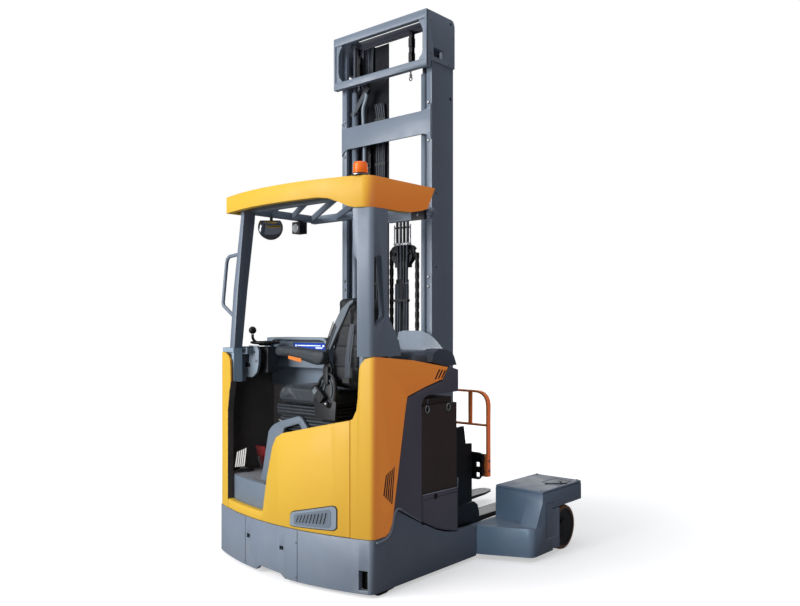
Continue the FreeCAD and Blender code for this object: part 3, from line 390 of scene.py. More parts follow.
# =====================================================================
# mesh kit for the detail pieces
# =====================================================================
class Piece:
    """One detail piece built from swept, turned and cut outlines."""

    def __init__(self, name, body, slot=None):
        self.name, self.body, self.slot = name, body, slot
        self.bm = bmesh.new()
        self.mats = []

    def mi(self, m):
        if m not in self.mats:
            self.mats.append(m)
        return self.mats.index(m)

    def _faces(self, vs, fs, m, smooth=False):
        k = self.mi(m)
        v = [self.bm.verts.new(p) for p in vs]
        for f in fs:
            try:
                fc = self.bm.faces.new([v[i] for i in f])
            except ValueError:
                continue
            fc.material_index = k
            fc.smooth = smooth
        return v

    def prism(self, plane, pts, lo, hi, m):
        """Outline in mm in a plane, pulled from lo to hi along the third axis."""
        def at(a, b, c):
            return P(a, b, c) if plane == "XY" else P(a, c, b) if plane == "XZ" else P(c, a, b)
        k = len(pts)
        vs = [at(a, b, lo) for a, b in pts] + [at(a, b, hi) for a, b in pts]
        fs = [tuple(reversed(range(k))), tuple(range(k, 2 * k))] + [(i, (i + 1) % k, k + (i + 1) % k, k + i) for i in range(k)]
        return self._faces(vs, fs, m)

    def box(self, x0, x1, y0, y1, z0, z1, m, turn=None, about=None):
        v = self.prism("XY", [(x0, y0), (x1, y0), (x1, y1), (x0, y1)], z0, z1, m)
        if turn:
            R = Matrix.Rotation(math.radians(turn[1]), 4, turn[0])
            c = P(*about) if about else sum((q.co for q in v), Vector()) / len(v)
            for q in v:
                q.co = R @ (q.co - c) + c
        return v

    def oblique(self, c, u, v, w, m):
        """Block with centre c and three half-edge vectors, all metres."""
        vs = [c + u * a + v * b + w * d for d in (-1, 1) for a, b in ((-1, -1), (1, -1), (1, 1), (-1, 1))]
        self._faces(vs, [(3, 2, 1, 0), (4, 5, 6, 7), (0, 1, 5, 4), (1, 2, 6, 5), (2, 3, 7, 6), (3, 0, 4, 7)], m)

    def frame_at(self, d):
        d = d.normalized()
        a = Vector((0, 0, 1)) if abs(d.z) < 0.9 else Vector((1, 0, 0))
        u = d.cross(a).normalized()
        return u, d.cross(u).normalized()

    def lathe(self, prof, o, d, m, n=36, caps=True):
        """prof: (distance along d, radius) in mm, turned round the line from o (Vector, metres) along d."""
        d = d.normalized()
        u, v = self.frame_at(d)
        vs = []
        for h, r in prof:
            for i in range(n):
                a = 2 * math.pi * i / n
                vs.append(o + d * h / 1000 + (u * math.cos(a) + v * math.sin(a)) * r / 1000)
        fs = []
        for j in range(len(prof) - 1):
            for i in range(n):
                fs.append((j * n + i, j * n + (i + 1) % n, (j + 1) * n + (i + 1) % n, (j + 1) * n + i))
        if caps:
            fs.append(tuple(reversed(range(n))))
            fs.append(tuple(range((len(prof) - 1) * n, len(prof) * n)))
        self._faces(vs, fs, m, True)

    def cyl(self, a, b, r, m, n=24, edge=None):
        """Turned bar between two points with a small edge radius."""
        L = (b - a).length * 1000
        e = edge if edge is not None else min(r * 0.15, L * 0.2)
        self.lathe([(0, r - e), (e, r), (L - e, r), (L, r - e)], a, b - a, m, n)

    def tube(self, pts, r, m, n=10, smooth_steps=0, taper=None, closed=False):
        pts = [Vector(p) for p in pts]
        if smooth_steps:
            out = []
            k = len(pts)
            rng = range(k) if closed else range(k - 1)
            for i in rng:
                p0 = pts[(i - 1) % k] if closed else pts[max(i - 1, 0)]
                p1, p2 = pts[i], pts[(i + 1) % k]
                p3 = pts[(i + 2) % k] if closed else pts[min(i + 2, k - 1)]
                for s in range(smooth_steps):
                    t = s / smooth_steps
                    out.append(0.5 * ((2 * p1) + (p2 - p0) * t + (2 * p0 - 5 * p1 + 4 * p2 - p3) * t * t + (3 * p1 - p0 - 3 * p2 + p3) * t ** 3))
            if not closed:
                out.append(pts[-1])
            pts = out
        vs, fs = [], []
        k = len(pts)
        prev = None
        for i, p in enumerate(pts):
            if closed:
                d = pts[(i + 1) % k] - pts[i - 1]
            else:
                d = pts[min(i + 1, k - 1)] - pts[max(i - 1, 0)]
            d.normalize()
            if prev is None:
                u, v = self.frame_at(d)
            else:
                u = (prev - d * prev.dot(d)).normalized()
                v = d.cross(u)
            prev = u
            for j in range(n):
                a = 2 * math.pi * j / n
                vs.append(p + (u * math.cos(a) + v * math.sin(a)) * r / 1000)
        last = k if closed else k - 1
        for i in range(last):
            for j in range(n):
                a, b = i * n + j, i * n + (j + 1) % n
                c, d_ = ((i + 1) % k) * n + (j + 1) % n, ((i + 1) % k) * n + j
                fs.append((a, b, c, d_))
        if not closed:
            fs += [tuple(reversed(range(n))), tuple(range((k - 1) * n, k * n))]
        self._faces(vs, fs, m, True)

    def bolt(self, p, d, size, m="zinc", washer=True, socket=False):
        """Hexagon head on a washer; p on the surface, d outwards, size = head radius in mm."""
        d = d.normalized()
        if washer:
            self.lathe([(0, size * 1.45), (size * 0.25, size * 1.45)], p, d, m, 18)
        u, v = self.frame_at(d)
        vs = []
        for h, r in ((0.2, 1.0), (0.85, 1.0), (1.0, 0.86)):
            for i in range(6):
                a = math.pi / 3 * i + 0.2
                vs.append(p + d * h * size / 1000 + (u * math.cos(a) + v * math.sin(a)) * r * size / 1000)
        fs = [tuple(reversed(range(6))), tuple(range(12, 18))]
        for j in range(2):
            fs += [(j * 6 + i, j * 6 + (i + 1) % 6, (j + 1) * 6 + (i + 1) % 6, (j + 1) * 6 + i) for i in range(6)]
        self._faces(vs, fs, m)
        if socket:
            # painted shade: dark disc inside the socket
            self.lathe([(size * 1.0, size * 0.5), (size * 1.02, size * 0.5)], p, d, "painted_hole_shade", 12)

    def chain(self, a, b, pitch, width, m="chain_steel", across=Vector((0, 1, 0))):
        """Leaf chain from a to b (metres): outer and inner plates with pin heads, across = pin direction."""
        L = (b - a).length
        k = max(2, int(L / (pitch / 1000)))
        d = (b - a).normalized()
        t = across.normalized()
        s = d.cross(t).normalized()
        for i in range(k):
            c = a + d * L * (i + 0.5) / k
            w = width * (0.5 if i % 2 else 0.36)
            h = L / k * 0.62
            self.oblique(c, t * w / 1000, s * pitch * 0.30 / 1000, d * h, m)
            self.oblique(c + d * L / k * 0.5, t * width * 0.56 / 1000, s * pitch * 0.15 / 1000, d * pitch * 0.15 / 1000, m)

    def chain_path(self, pts, pitch, width, m="chain_steel", across=Vector((0, 1, 0))):
        for a, b in zip(pts[:-1], pts[1:]):
            self.chain(a, b, pitch, width, m, across)

    def done(self, bevel=1.0, angle=40, segs=1, sub=0):
        me = bpy.data.meshes.new(self.name)
        bmesh.ops.recalc_face_normals(self.bm, faces=self.bm.faces)
        self.bm.to_mesh(me)
        self.bm.free()
        o = bpy.data.objects.new(self.name, me)
        SCN.collection.objects.link(o)
        for m in self.mats:
            me.materials.append(MATS[m])
        if bevel:
            me.polygons.foreach_set("use_smooth", [True] * len(me.polygons))
            b = o.modifiers.new("edge", "BEVEL")
            b.width = bevel / 1000
            b.segments = segs
            b.limit_method = "ANGLE"
            b.angle_limit = math.radians(angle)
            b.harden_normals = True
        if sub:
            s = o.modifiers.new("sub", "SUBSURF")
            s.levels = s.render_levels = sub
        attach(o, self.body)
        return o


X, Y, Z = Vector((1, 0, 0)), Vector((0, 1, 0)), Vector((0, 0, 1))

# =====================================================================
# cab
# =====================================================================
p = Piece("cab_lining", "truck", "black_plastic")
L_ = "cab_lining"
p.box(44, 398, 605.5, 611, 504, 1120, L_)
# glowing strips on the lining paint the daylight showing through the five slanted slots of the side vent
for i in range(5):
    xb = 82 + 16 * i
    p.prism("XZ", [(xb, 524 - 1 * i), (xb + 10.5, 523 - 1 * i), (xb + 26.5, 620 + 3.6 * i), (xb + 16, 617 + 3.6 * i)], 604.4, 605.8, "slot_light")
p.box(395.5, 400.5, -118, 604, 504, 1028, L_)
p.box(399, 400.5, -606, -126, 803, 1028, L_)
p.prism("XZ", [(60, 1028), (384, 1028), (320, 1154), (60, 1068)], 601, 606, L_)
p.done(0.8)

p = Piece("cab_mat", "truck", "grey_plastic")
p.prism("XY", [(-50, 158), (-12, 400), (38, 585), (378, 588), (378, 158)], 500.4, 504, "floor_mat")
for i in range(19):
    x = 2 + 20 * i
    p.box(x, x + 8, 200 if x > 0 else 260, 500 if x < 36 else 578, 503.5, 506, "floor_mat")
p.done(0.8)

p = Piece("floor_button", "truck", "black_plastic")
c = P(118, 540, 504)
p.lathe([(0, 50), (6, 50), (9, 46), (11, 42), (12, 40)], c, Z, "rubber", 40)
p.lathe([(8, 38), (17, 38), (20, 34), (21, 30), (19, 24), (19, 0.5)], c, Z, "black_plastic", 40)
for k in range(8):
    a = k * math.pi / 4
    p.bolt(c + Vector((math.cos(a), math.sin(a), 0)) * 0.030 + Z * 0.017, Z, 2.2, "zinc", False)
p.done(0.6)

# red pedal: ribbed plate on a bent arm
p = Piece("pedal_plates", "truck", "red_paint")
for y0, y1, top in ((450, 546, 1.0), (312, 378, 0.72)):
    a, b = P(246, 0, 514), P(246 - 48 * top, 0, 514 + 140 * top)
    d = (b - a).normalized()
    nrm = d.cross(Y).normalized()
    mid = (a + b) / 2 + Y * (y0 + y1) / 2000
    p.oblique(mid, Y * (y1 - y0) / 2000, d * (b - a).length / 2, nrm * 0.004, "red_paint")
    for k in range(9):
        q = a + d * (b - a).length * (k + 0.7) / 9.6 + Y * (y0 + y1) / 2000 - nrm * 0.0055
        p.oblique(q, Y * (y1 - y0) / 2000 * 0.86, d * 0.0028, nrm * 0.0022, "red_paint")
    p.tube([a + Y * (y0 + 20) / 1000 + X * 0.012, a + Y * (y0 + 20) / 1000 + X * 0.05, P(385, y0 + 20, 520)], 8, "zinc", 10)
    p.oblique(mid + nrm * 0.02 - d * 0.02, Y * 0.007, d * 0.034, nrm * 0.018, "zinc")
o = p.done(1.2)
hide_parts("pedals")

# display and console top
p = Piece("display_unit", "truck", "black_plastic")
p.prism("YZ", [(8, 1268), (16, 1260), (318, 1260), (326, 1268), (326, 1310), (318, 1318), (16, 1318), (8, 1310)], 309, 320.5, "black_plastic")
p.box(307.5, 309.4, 22, 304, 1268, 1309, "display")
for z in (1264, 1313.5):
    p.box(307.2, 309.4, 18, 314, z - 1.2, z + 1.2, "light_plastic")
for k in range(5):
    p.lathe([(0, 4.5), (2.5, 4.5), (3.2, 3.8)], P(309, 314.5, 1271 + 9 * k), -X, "light_plastic", 12)
p.done(1.0)

p = Piece("console_shell", "truck", "grey_plastic")
rim_ = [(-8, 1290), (0, 1322), (22, 1338), (60, 1342), (470, 1342), (505, 1336), (524, 1318), (532, 1296), (532, 1282)]
inn_ = [(520, 1282), (519, 1292), (512, 1310), (498, 1323), (466, 1329), (60, 1329), (30, 1325), (12, 1313), (4, 1290)]
p.prism("YZ", rim_ + inn_, 296, 322, "light_plastic")
p.prism("XY", [(300, 10), (396, 10), (396, 540), (300, 540)], 1337.5, 1341.5, "light_plastic")
for k in range(6):
    p.box(318 + 12 * k, 323 + 12 * k, 90, 440, 1341, 1343.4, "grey_plastic")
p.done(2.2, 30, 2)

# grey bracket holding the steering block, with screws
p = Piece("steering_bracket_trim", "truck", "grey_plastic")
p.prism("YZ", [(474, 1294), (400, 1294), (380, 1262), (382, 1180), (398, 1130), (438, 1099), (505, 1097), (525, 1117), (522, 1152), (482, 1168), (474, 1215)], 90, 95.5, "light_plastic")
for y, z in ((450, 1255), (402, 1200), (505, 1125)):
    p.bolt(P(90, y, z), -X, 7, "zinc", True, True)
p.done(1.6, 30, 2)

# cup recess on the left console
p = Piece("console_cup", "truck", "black_plastic")
ring = [P(70 + 22 * math.cos(a), 548 + 40 * math.sin(a), 1282.5) for a in [2 * math.pi * k / 32 for k in range(32)]]
p.tube(ring, 4.5, "light_plastic", 8, 0, None, True)
# painted shade: dark disc at the bottom of the cup
p.prism("XY", [(70 + 21 * math.cos(2 * math.pi * k / 32), 548 + 39 * math.sin(2 * math.pi * k / 32)) for k in range(32)], 1281.2, 1282.6, "painted_hole_shade")
p.box(50, 90, 430, 494, 1281, 1284, "black_plastic")
for k in range(4):
    p.lathe([(0, 6), (4, 6), (5.5, 4.5)], P(60 + (k % 2) * 20, 446 + (k // 2) * 30, 1284), Z, "grey_plastic", 16)
p.done(0.8)

# steering: dished wheel with spokes and a spinner knob
p = Piece("steering_spinner", "steering", "black_plastic")
c = P(190, 440, 1291)
p.lathe([(0, 38), (6, 40), (8, 52), (9, 70), (12, 84), (17, 91), (22, 92), (27, 88), (28, 82), (24, 74), (21, 60), (20, 40), (22, 34), (27, 30), (28, 0.5)], c, Z, "black_plastic", 56)
for k in range(3):
    a = math.radians(50 + 120 * k)
    d = Vector((math.cos(a), math.sin(a), 0))
    p.oblique(c + d * 0.055 + Z * 0.0215, d * 0.028, d.cross(Z) * 0.011, Z * 0.0035, "black_plastic")
for k in range(24):
    a = 2 * math.pi * k / 24
    d = Vector((math.cos(a), math.sin(a), 0))
    p.oblique(c + d * 0.0915 + Z * 0.019, d * 0.0012, d.cross(Z) * 0.004, Z * 0.005, "rubber")
p.tube([P(160, 474, 1309), P(148, 488, 1318), P(139, 498, 1336), P(138, 500, 1362)], 8.5, "black_plastic", 14, 6)
kn = P(138, 500, 1364)
p.lathe([(0, 8), (3, 12), (8, 19), (15, 23), (24, 24.2), (33, 22), (41, 16), (46, 8), (47.5, 0.5)], kn, Z, "black_plastic", 32)
o = p.done(0)
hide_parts("steering_wheel")

# =====================================================================
# seat
# =====================================================================
def evaluated(o):
    bpy.context.view_layer.update()
    return bpy.data.meshes.new_from_object(o.evaluated_get(bpy.context.evaluated_depsgraph_get()))


def swap(o, me):
    old = o.data
    o.modifiers.clear()
    o.data = me
    if old.users == 0:
        bpy.data.meshes.remove(old)


def pad(name, body, outline, plane, lo, hi, round_, cap, node, press=4.0, voxel=6.0, grooves=(), crown=None, mat="black_vinyl", vary=True):
    """Closed upholstered form: rounded block, remeshed, swollen as cloth under pressure, then sewn lines pressed in."""
    p = Piece(name, body, "black_vinyl")
    p.prism(plane, outline, lo, hi, mat)
    o = p.done(0)
    b = o.modifiers.new("round", "BEVEL")
    b.width = round_ / 1000
    b.segments = 4
    b.limit_method = "ANGLE"
    b.angle_limit = math.radians(28)
    swap(o, evaluated(o))
    r = o.modifiers.new("remesh", "REMESH")
    r.mode = "VOXEL"
    r.voxel_size = voxel / 1000
    r.use_smooth_shade = True
    s = o.modifiers.new("relax", "SMOOTH")
    s.iterations = 6
    swap(o, evaluated(o))
    rest = [v.co.copy() for v in o.data.vertices]
    c = o.modifiers.new("cloth", "CLOTH")
    st = c.settings
    st.quality = 5
    st.mass = 0.25
    st.tension_stiffness = st.compression_stiffness = 12
    st.shear_stiffness = 4
    st.bending_stiffness = 2.0
    st.use_pressure = True
    st.uniform_pressure_force = press
    st.effector_weights.gravity = 0
    c.point_cache.frame_start, c.point_cache.frame_end = 1, 20
    for f in range(1, 21):
        SCN.frame_set(f)
    me2 = evaluated(o)
    for i, v in enumerate(me2.vertices):
        d = v.co - rest[i]
        if d.length > cap / 1000:
            v.co = rest[i] + d.normalized() * cap / 1000
    swap(o, me2)
    SCN.frame_set(1)
    me = o.data
    nr = [v.normal.copy() for v in me.vertices]
    for i, v in enumerate(me.vertices):
        q = v.co
        x, y, z = q.x * 1000 + OX, q.y * 1000, q.z * 1000
        for g, depth, width in grooves:
            v.co = v.co - nr[i] * depth / 1000 * math.exp(-(g(x, y, z) / width) ** 2)
    me.polygons.foreach_set("use_smooth", [True] * len(me.polygons))
    sd = o.modifiers.new("sub", "SUBSURF")
    sd.levels = sd.render_levels = 1
    swap(o, evaluated(o))
    o.data.polygons.foreach_set("use_smooth", [True] * len(o.data.polygons))
    if not len(o.data.materials):
        o.data.materials.append(MATS[mat])
    if node:
        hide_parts(node)
    return o


pad("seat_pad", "truck", [(-384, 972), (98, 970), (118, 990), (121, 1026), (98, 1058), (44, 1066), (-200, 1064), (-384, 1056)], "YZ", 18, 322, 24, 9, "seat_cushion",
    grooves=[(lambda x, y, z: z - 984, 4.0, 4.0), (lambda x, y, z: (y + 210) if z > 1040 else 99, 3.0, 5.0),
             (lambda x, y, z: (abs(x - 170) - 112) if z > 1035 else 99, 4.0, 5.0)])
# backrest: outline leans back towards the body side
back_out = [(-300, 1082), (-306, 1285), (-368, 1560), (-384, 1566), (-480, 1564), (-500, 1540), (-526, 1400), (-526, 1082)]
# the back pad takes a darker copy of the vinyl as painted shade
pad("back_pad", "truck", back_out, "YZ", 36, 294, 22, 10, "seat_backrest",
    grooves=[(lambda x, y, z: z - 1190, 4.0, 5.0), (lambda x, y, z: z - 1300, 4.0, 5.0), (lambda x, y, z: z - 1410, 4.0, 5.0), (lambda x, y, z: abs(x - 165) - 84 if y > -400 or z > 1300 else 99, 4.0, 5.0)], mat="vinyl_painted_shade")
pad("arm_pad", "truck", [(-341, 1278), (-345, 1242), (-322, 1214), (-292, 1201), (-240, 1208), (-60, 1243), (40, 1246), (60, 1264), (58, 1288), (38, 1300), (-100, 1299)], "YZ", -54, 0, 14, 5, "armrest",
    voxel=4.0, grooves=[(lambda x, y, z: x + 27 if z > 1285 else 99, 2.0, 4.0)])

# bolster strip down the edge of the backrest, with its stitched insert; the lighter vinyl paints the highlight on its
# lit face
p = Piece("seat_bolster", "truck", "black_vinyl")
strip = [(-500, 1556), (-470, 1548), (-408, 1506), (-362, 1440), (-324, 1372), (-291, 1290), (-300, 1284), (-322, 1284), (-372, 1366), (-416, 1430), (-474, 1524), (-498, 1540)]
p.prism("YZ", strip, 16, 40, "grey_vinyl_and_painted_highlight")
p.done(5, 30, 3)
p = Piece("seat_stitching", "truck", "black_vinyl")
for k in range(22):
    t = k / 21
    a = P(14.5, -362 + 66 * t, 1425 - 130 * t)
    d = Vector((0, 66, -130)).normalized()
    p.oblique(a, d * 0.0022, Vector((0, d.z, -d.y)) * 0.0075, X * 0.0016, "rubber")
p.tube([P(15, -352 + 66 * t / 8, 1440 - 140 * t / 8) for t in range(9)], 2.2, "rubber", 8)
p.tube([P(15, -374 + 66 * t / 8, 1414 - 130 * t / 8) for t in range(9)], 2.2, "rubber", 8)
p.done(0)

# piping round the seat pad
p = Piece("seat_piping", "truck", "black_vinyl")
def loop(x0, x1, y0, y1, z, r):
    pts = []
    for cx, cy, a0 in ((x1 - r, y1 - r, 0), (x0 + r, y1 - r, 90), (x0 + r, y0 + r, 180), (x1 - r, y0 + r, 270)):
        for k in range(5):
            a = math.radians(a0 + 22.5 * k)
            pts.append(P(cx + r * math.cos(a), cy + r * math.sin(a), z))
    return pts
p.tube(loop(15, 325, -380, 120, 984, 30), 2.6, "rubber", 8, 0, None, True)
p.done(0)

# sprung seat base: folded cover
p = Piece("seat_folds", "truck", "black_plastic")
for z, o_, r in ((956, 2, 7), (938, 5, 8), (920, 3, 8)):
    p.tube(loop(30 - o_, 342 + o_, -362 - o_, 128 + o_, z, 22), r, "black_vinyl", 10, 0, None, True)
for z, o_, r in ((897, 16, 9), (878, 20, 9), (859, 20, 9), (840, 18, 9), (821, 14, 8)):
    p.tube(loop(60 - o_, 320 + o_, -330 - o_, 100 + o_, z, 26), r, "black_vinyl", 10, 0, None, True)
p.tube([P(26, 110, 868), P(22, 60, 862), P(22, -60, 862), P(26, -110, 868)], 6, "zinc", 10, 4)
p.done(0)

# seat hinge: loop plate, knob, belt buckle
p = Piece("seat_hinge_trim", "truck", "black_plastic")
p.tube([P(-9, -246, 1052), P(-9, -272, 1110), P(-9, -300, 1140), P(-9, -330, 1156), P(-9, -364, 1148), P(-9, -388, 1112), P(-9, -392, 1052), P(-9, -384, 1010)], 9, "black_plastic", 10, 5)
p.tube([P(-10, -300, 1064), P(-10, -322, 1110), P(-10, -342, 1122), P(-10, -360, 1100), P(-10, -364, 1050), P(-10, -352, 1030)], 4, "grey_vinyl_and_painted_highlight", 8, 5)
p.lathe([(0, 24), (4, 24), (6, 20), (8, 17), (20, 16), (23, 13), (24, 6), (24, 0.5)], P(-6, -335, 992), -X, "black_plastic", 28)
p.lathe([(24, 7), (26, 6), (27, 0.5)], P(-6, -335, 992), -X, "bright_steel", 16)
d = Vector((0, -67, -63)).normalized()
e = Vector((0, d.z, -d.y))
p.oblique(P(-24, -280, 1044), d * 0.046, e * 0.025, X * 0.013, "black_plastic")
p.oblique(P(-38, -262, 1060), d * 0.014, e * 0.017, X * 0.003, "grey_vinyl_and_painted_highlight")
p.oblique(P(-24, -238, 1082), d * 0.004, e * 0.012, X * 0.004, "painted_hole_shade")
p.done(3.0, 30, 3)

# lap belt hanging beside the backrest
p = Piece("seat_belt", "truck", "black_vinyl")
pts = [(-8, -520, 1424), (-14, -514, 1360), (-18, -504, 1280), (-18, -494, 1200), (-10, -486, 1134)]
vs, fs = [], []
for x, y, z in pts:
    for t, s in ((-1, -1), (1, -1), (1, 1), (-1, 1)):
        w_ = 15 if z > 1400 else 21
        vs.append(P(x + s * 1.6, y + t * w_, z))
k = len(pts)
for i in range(k - 1):
    for j in range(4):
        fs.append((i * 4 + j, i * 4 + (j + 1) % 4, (i + 1) * 4 + (j + 1) % 4, (i + 1) * 4 + j))
fs += [(0, 1, 2, 3), tuple(reversed(range(4 * k - 4, 4 * k)))]
p._faces(vs, fs, "hose_cover")
p.tube([P(-21, -525, 1420), P(-24, -512, 1290), P(-14, -498, 1140)], 1.6, "grey_vinyl_and_painted_highlight", 6, 4)
p.box(-26, -2, -512, -462, 1112, 1140, "black_plastic")
p.done(0.8)

# orange tag tucked under the armrest
p = Piece("arm_tag", "truck", "orange_paint")
p.prism("YZ", [(-66, 1249), (-172, 1236), (-176, 1213), (-64, 1231)], -58.5, -54.5, "orange_tag")
p.done(0.8)
p = Piece("arm_mount", "truck", "black_plastic")
p.lathe([(0, 26), (10, 26), (13, 22), (14, 10), (14, 0.5)], P(-6, -318, 1236), -X, "black_plastic", 28)
p.prism("YZ", [(-352, 1090), (-360, 1180), (-338, 1222), (-304, 1222), (-300, 1180), (-318, 1090)], -4, 10, "black_plastic")
p.done(2.0, 30, 2)

# dark plates paint the shade of the recess under the console lip, and its small switches
p = Piece("console_recess_shade", "truck", "black_plastic")
p.box(42.6, 44.2, 440, 500, 1249, 1276, "black_plastic")
p.box(42.6, 46, 512, 560, 1249, 1275, "black_plastic")
p.box(40.5, 44, 436, 442, 1244, 1279, "light_plastic")
p.done(0.8)

# grey boot round the foot of the left post
p = Piece("post_boot", "truck", "grey_plastic")
p.box(7, 44.5, 480, 604, 1072, 1254, "light_plastic")
p.box(-21.5, 8, 480, 500.5, 1076, 1254, "light_plastic")
p.prism("XY", [(-26, 486), (-20, 480), (44.5, 480), (44.5, 604), (-12, 604), (-22, 590)], 1253.5, 1281.5, "light_plastic")
p.done(2.5, 30, 2)

# notched hook and clip on the steering bracket
p = Piece("bracket_hook", "truck", "black_plastic")
# painted shade: dark notch and dark hole
p.prism("YZ", [(534, 1184), (464, 1186), (460, 1162), (500, 1160), (534, 1150)], 88.6, 90.2, "painted_hole_shade")
p.prism("YZ", [(590, 1208), (575, 1214), (524, 1172), (534, 1160), (548, 1163)], 86, 90.2, "light_plastic")
p.lathe([(0, 6), (1.2, 6), (1.6, 0.5)], P(90, 420, 1254), -X, "painted_hole_shade", 16)
p.done(0)

# =====================================================================
# body panels
# =====================================================================
def skin_x(y, inset=0.0):
    """Rear surface of the body at width y."""
    return -117.0 + 1790.0 - math.sqrt(1790.0 ** 2 - y ** 2) + inset


def conform(p, poly, out_, in_, m, inset=6.0, n=14):
    """Strip that follows the curved rear: poly in (y, z), from out_ mm proud to in_ mm under the surface."""
    ys = [a for a, b in poly]
    y0, y1 = min(ys), max(ys)
    st = sorted(set([y0 + (y1 - y0) * i / n for i in range(n + 1)] + ys))
    def span(y):
        zs = []
        for (a, b), (c, d) in zip(poly, poly[1:] + poly[:1]):
            if a == c:
                if abs(a - y) < 1e-6:
                    zs += [b, d]
            elif min(a, c) - 1e-6 <= y <= max(a, c) + 1e-6:
                zs.append(b + (d - b) * (y - a) / (c - a))
        return min(zs), max(zs)
    rows = []
    for y in st:
        lo, hi = span(y)
        if hi - lo < 0.4:
            hi = lo + 0.4
        x = skin_x(y, inset)
        rows.append([P(x - out_, y, lo), P(x - out_, y, hi), P(x + in_, y, hi), P(x + in_, y, lo)])
    vs = [q for r in rows for q in r]
    fs = [(0, 1, 2, 3), tuple(reversed(range(4 * len(rows) - 4, 4 * len(rows))))]
    for i in range(len(rows) - 1):
        for j in range(4):
            fs.append((i * 4 + j, (i + 1) * 4 + j, (i + 1) * 4 + (j + 1) % 4, i * 4 + (j + 1) % 4))
    p._faces(vs, fs, m, False)


p = Piece("rear_vent", "truck", "grey_plastic")
conform(p, [(-134, 328), (-139, 318), (-162, 315), (-424, 328), (-440, 333), (-453, 347), (-453, 446), (-444, 460), (-424, 464), (-157, 402), (-138, 384)], 0.6, 3, "seam_dark")
conform(p, [(-138, 332), (-143, 323), (-164, 320), (-422, 333), (-437, 338), (-448, 350), (-448, 444), (-440, 455), (-422, 459), (-160, 397), (-143, 381)], 4.6, 3, "light_plastic")
conform(p, [(-168, 335), (-175, 329), (-402, 342), (-413, 349), (-417, 360), (-417, 428), (-410, 438), (-398, 440), (-181, 390), (-171, 381)], 6.2, 1, "grey_plastic")
for i in range(9):
    yb, yt = -184 - 23.0 * i, -201 - 23.0 * i
    zb, zt = 343 + 2.0 * i, 384 + 4.6 * i
    # painted shade: dark strips in the gaps between the slats
    conform(p, [(yb, zb), (yb - 10, zb + 1.2), (yt - 10, zt + 1.2), (yt, zt)], 6.6, 1, "painted_hole_shade", n=4)
    conform(p, [(yb - 10, zb + 1.2), (yb - 13, zb + 1.6), (yt - 13, zt + 1.6), (yt - 10, zt + 1.2)], 8.2, 1, "light_plastic", n=3)
p.done(1.0)

# widened upper part of the entry post
p = Piece("entry_flare", "truck", "yellow_paint")
conform(p, [(532, 893), (514, 961), (499, 1017), (484, 1054), (479, 1079), (481, 1158), (488, 1206), (510, 1227), (541, 1243), (561, 1249), (590, 1251), (590, 1010), (560, 893)], 0.25, 11, "yellow_paint", n=22)
p.done(0)

# inner edge of the entry post, closed with dark trim
p = Piece("entry_edge_trim", "truck", "black_plastic")
ep = [(526.6, 356), (526, 895), (514.5, 940), (498, 1012), (483.5, 1054), (479, 1076)]
for (ya, za), (yb, zb) in zip(ep[:-1], ep[1:]):
    A_, B_ = Vector((0, ya, za)), Vector((0, yb, zb))
    d_ = (B_ - A_).normalized()
    nrm_ = Vector((0, -d_.z, d_.y))
    mid_ = (A_ + B_) / 2 + nrm_ * 0.9
    x_ = skin_x((ya + yb) / 2, 6)
    p.oblique(P(x_ + 21.5, mid_.y, mid_.z), X * 0.020, d_ * ((B_ - A_).length / 2000 + 0.0004), nrm_ * 0.0009, "cab_lining")
p.done(0)

# rolled lip where the skirt sweeps up behind the corner panel, painted bright as a highlight
p = Piece("skirt_lip", "truck", "grey_paint")
for s in (-1, 1):
    up_ = [(36, 285), (60, 286), (96, 289), (126, 299), (148, 321), (162, 356), (172, 396), (186, 424), (208, 433), (232, 426)]
    p.tube([P(x, 651 * s, z) for x, z in up_], 6.5, "painted_highlight_grey", 10, 4)
    p.tube([P(x, 651 * s, z) for x, z in [(230, 427), (270, 404), (340, 362), (404, 326)]], 2.4, "painted_highlight_grey", 8, 3)
p.done(0)

# rubber skid block under the near corner; dark sheets behind the tie-down hole as painted shade
p = Piece("corner_skid", "truck", "black_plastic")
for s in (-1, 1):
    lo, hi = sorted((646 * s, 566 * s))
    p.prism("XZ", [(34, 26), (46, 8), (64, 4), (120, 5), (140, 12), (176, 14), (186, 26), (186, 40), (34, 40)], lo, hi, "rubber")
    p.bolt(P(160, 606 * s, 14), -Z, 6, "zinc")
p.box(26.5, 29.5, -629, -560, 26, 160, "painted_hole_shade")
p.box(0, 28, -629.5, -627.5, 30, 155, "painted_hole_shade")
p.done(2.0, 30, 2)

p = Piece("panel_seams", "truck", "yellow_paint")
for s in (-1, 1):
    for z0, z1 in ((308, 918),):
        y = 525 * s
        x = skin_x(abs(y), 6)
        if s < 0:
            p.box(x + 7, x + 30, y - 4, y + 4, z0, z1, "seam_dark")
p.done(0)

p = Piece("skirt_seams", "truck", "grey_paint")
for y, z0, z1 in ((270, 24, 300), (-195, 22, 300)):
    conform(p, [(y - 1.6, z0), (y - 1.6, z1), (y + 1.6, z1), (y + 1.6, z0)], 0.6, 1, "dark_seam_and_shade", 0.0, 2)
for y, z in ((266, 236), (264, 46), (-186, 232), (-188, 44)):
    p.bolt(P(skin_x(y) + 1.5, y, z), -X, 4.2, "zinc", True, True)
p.done(0)

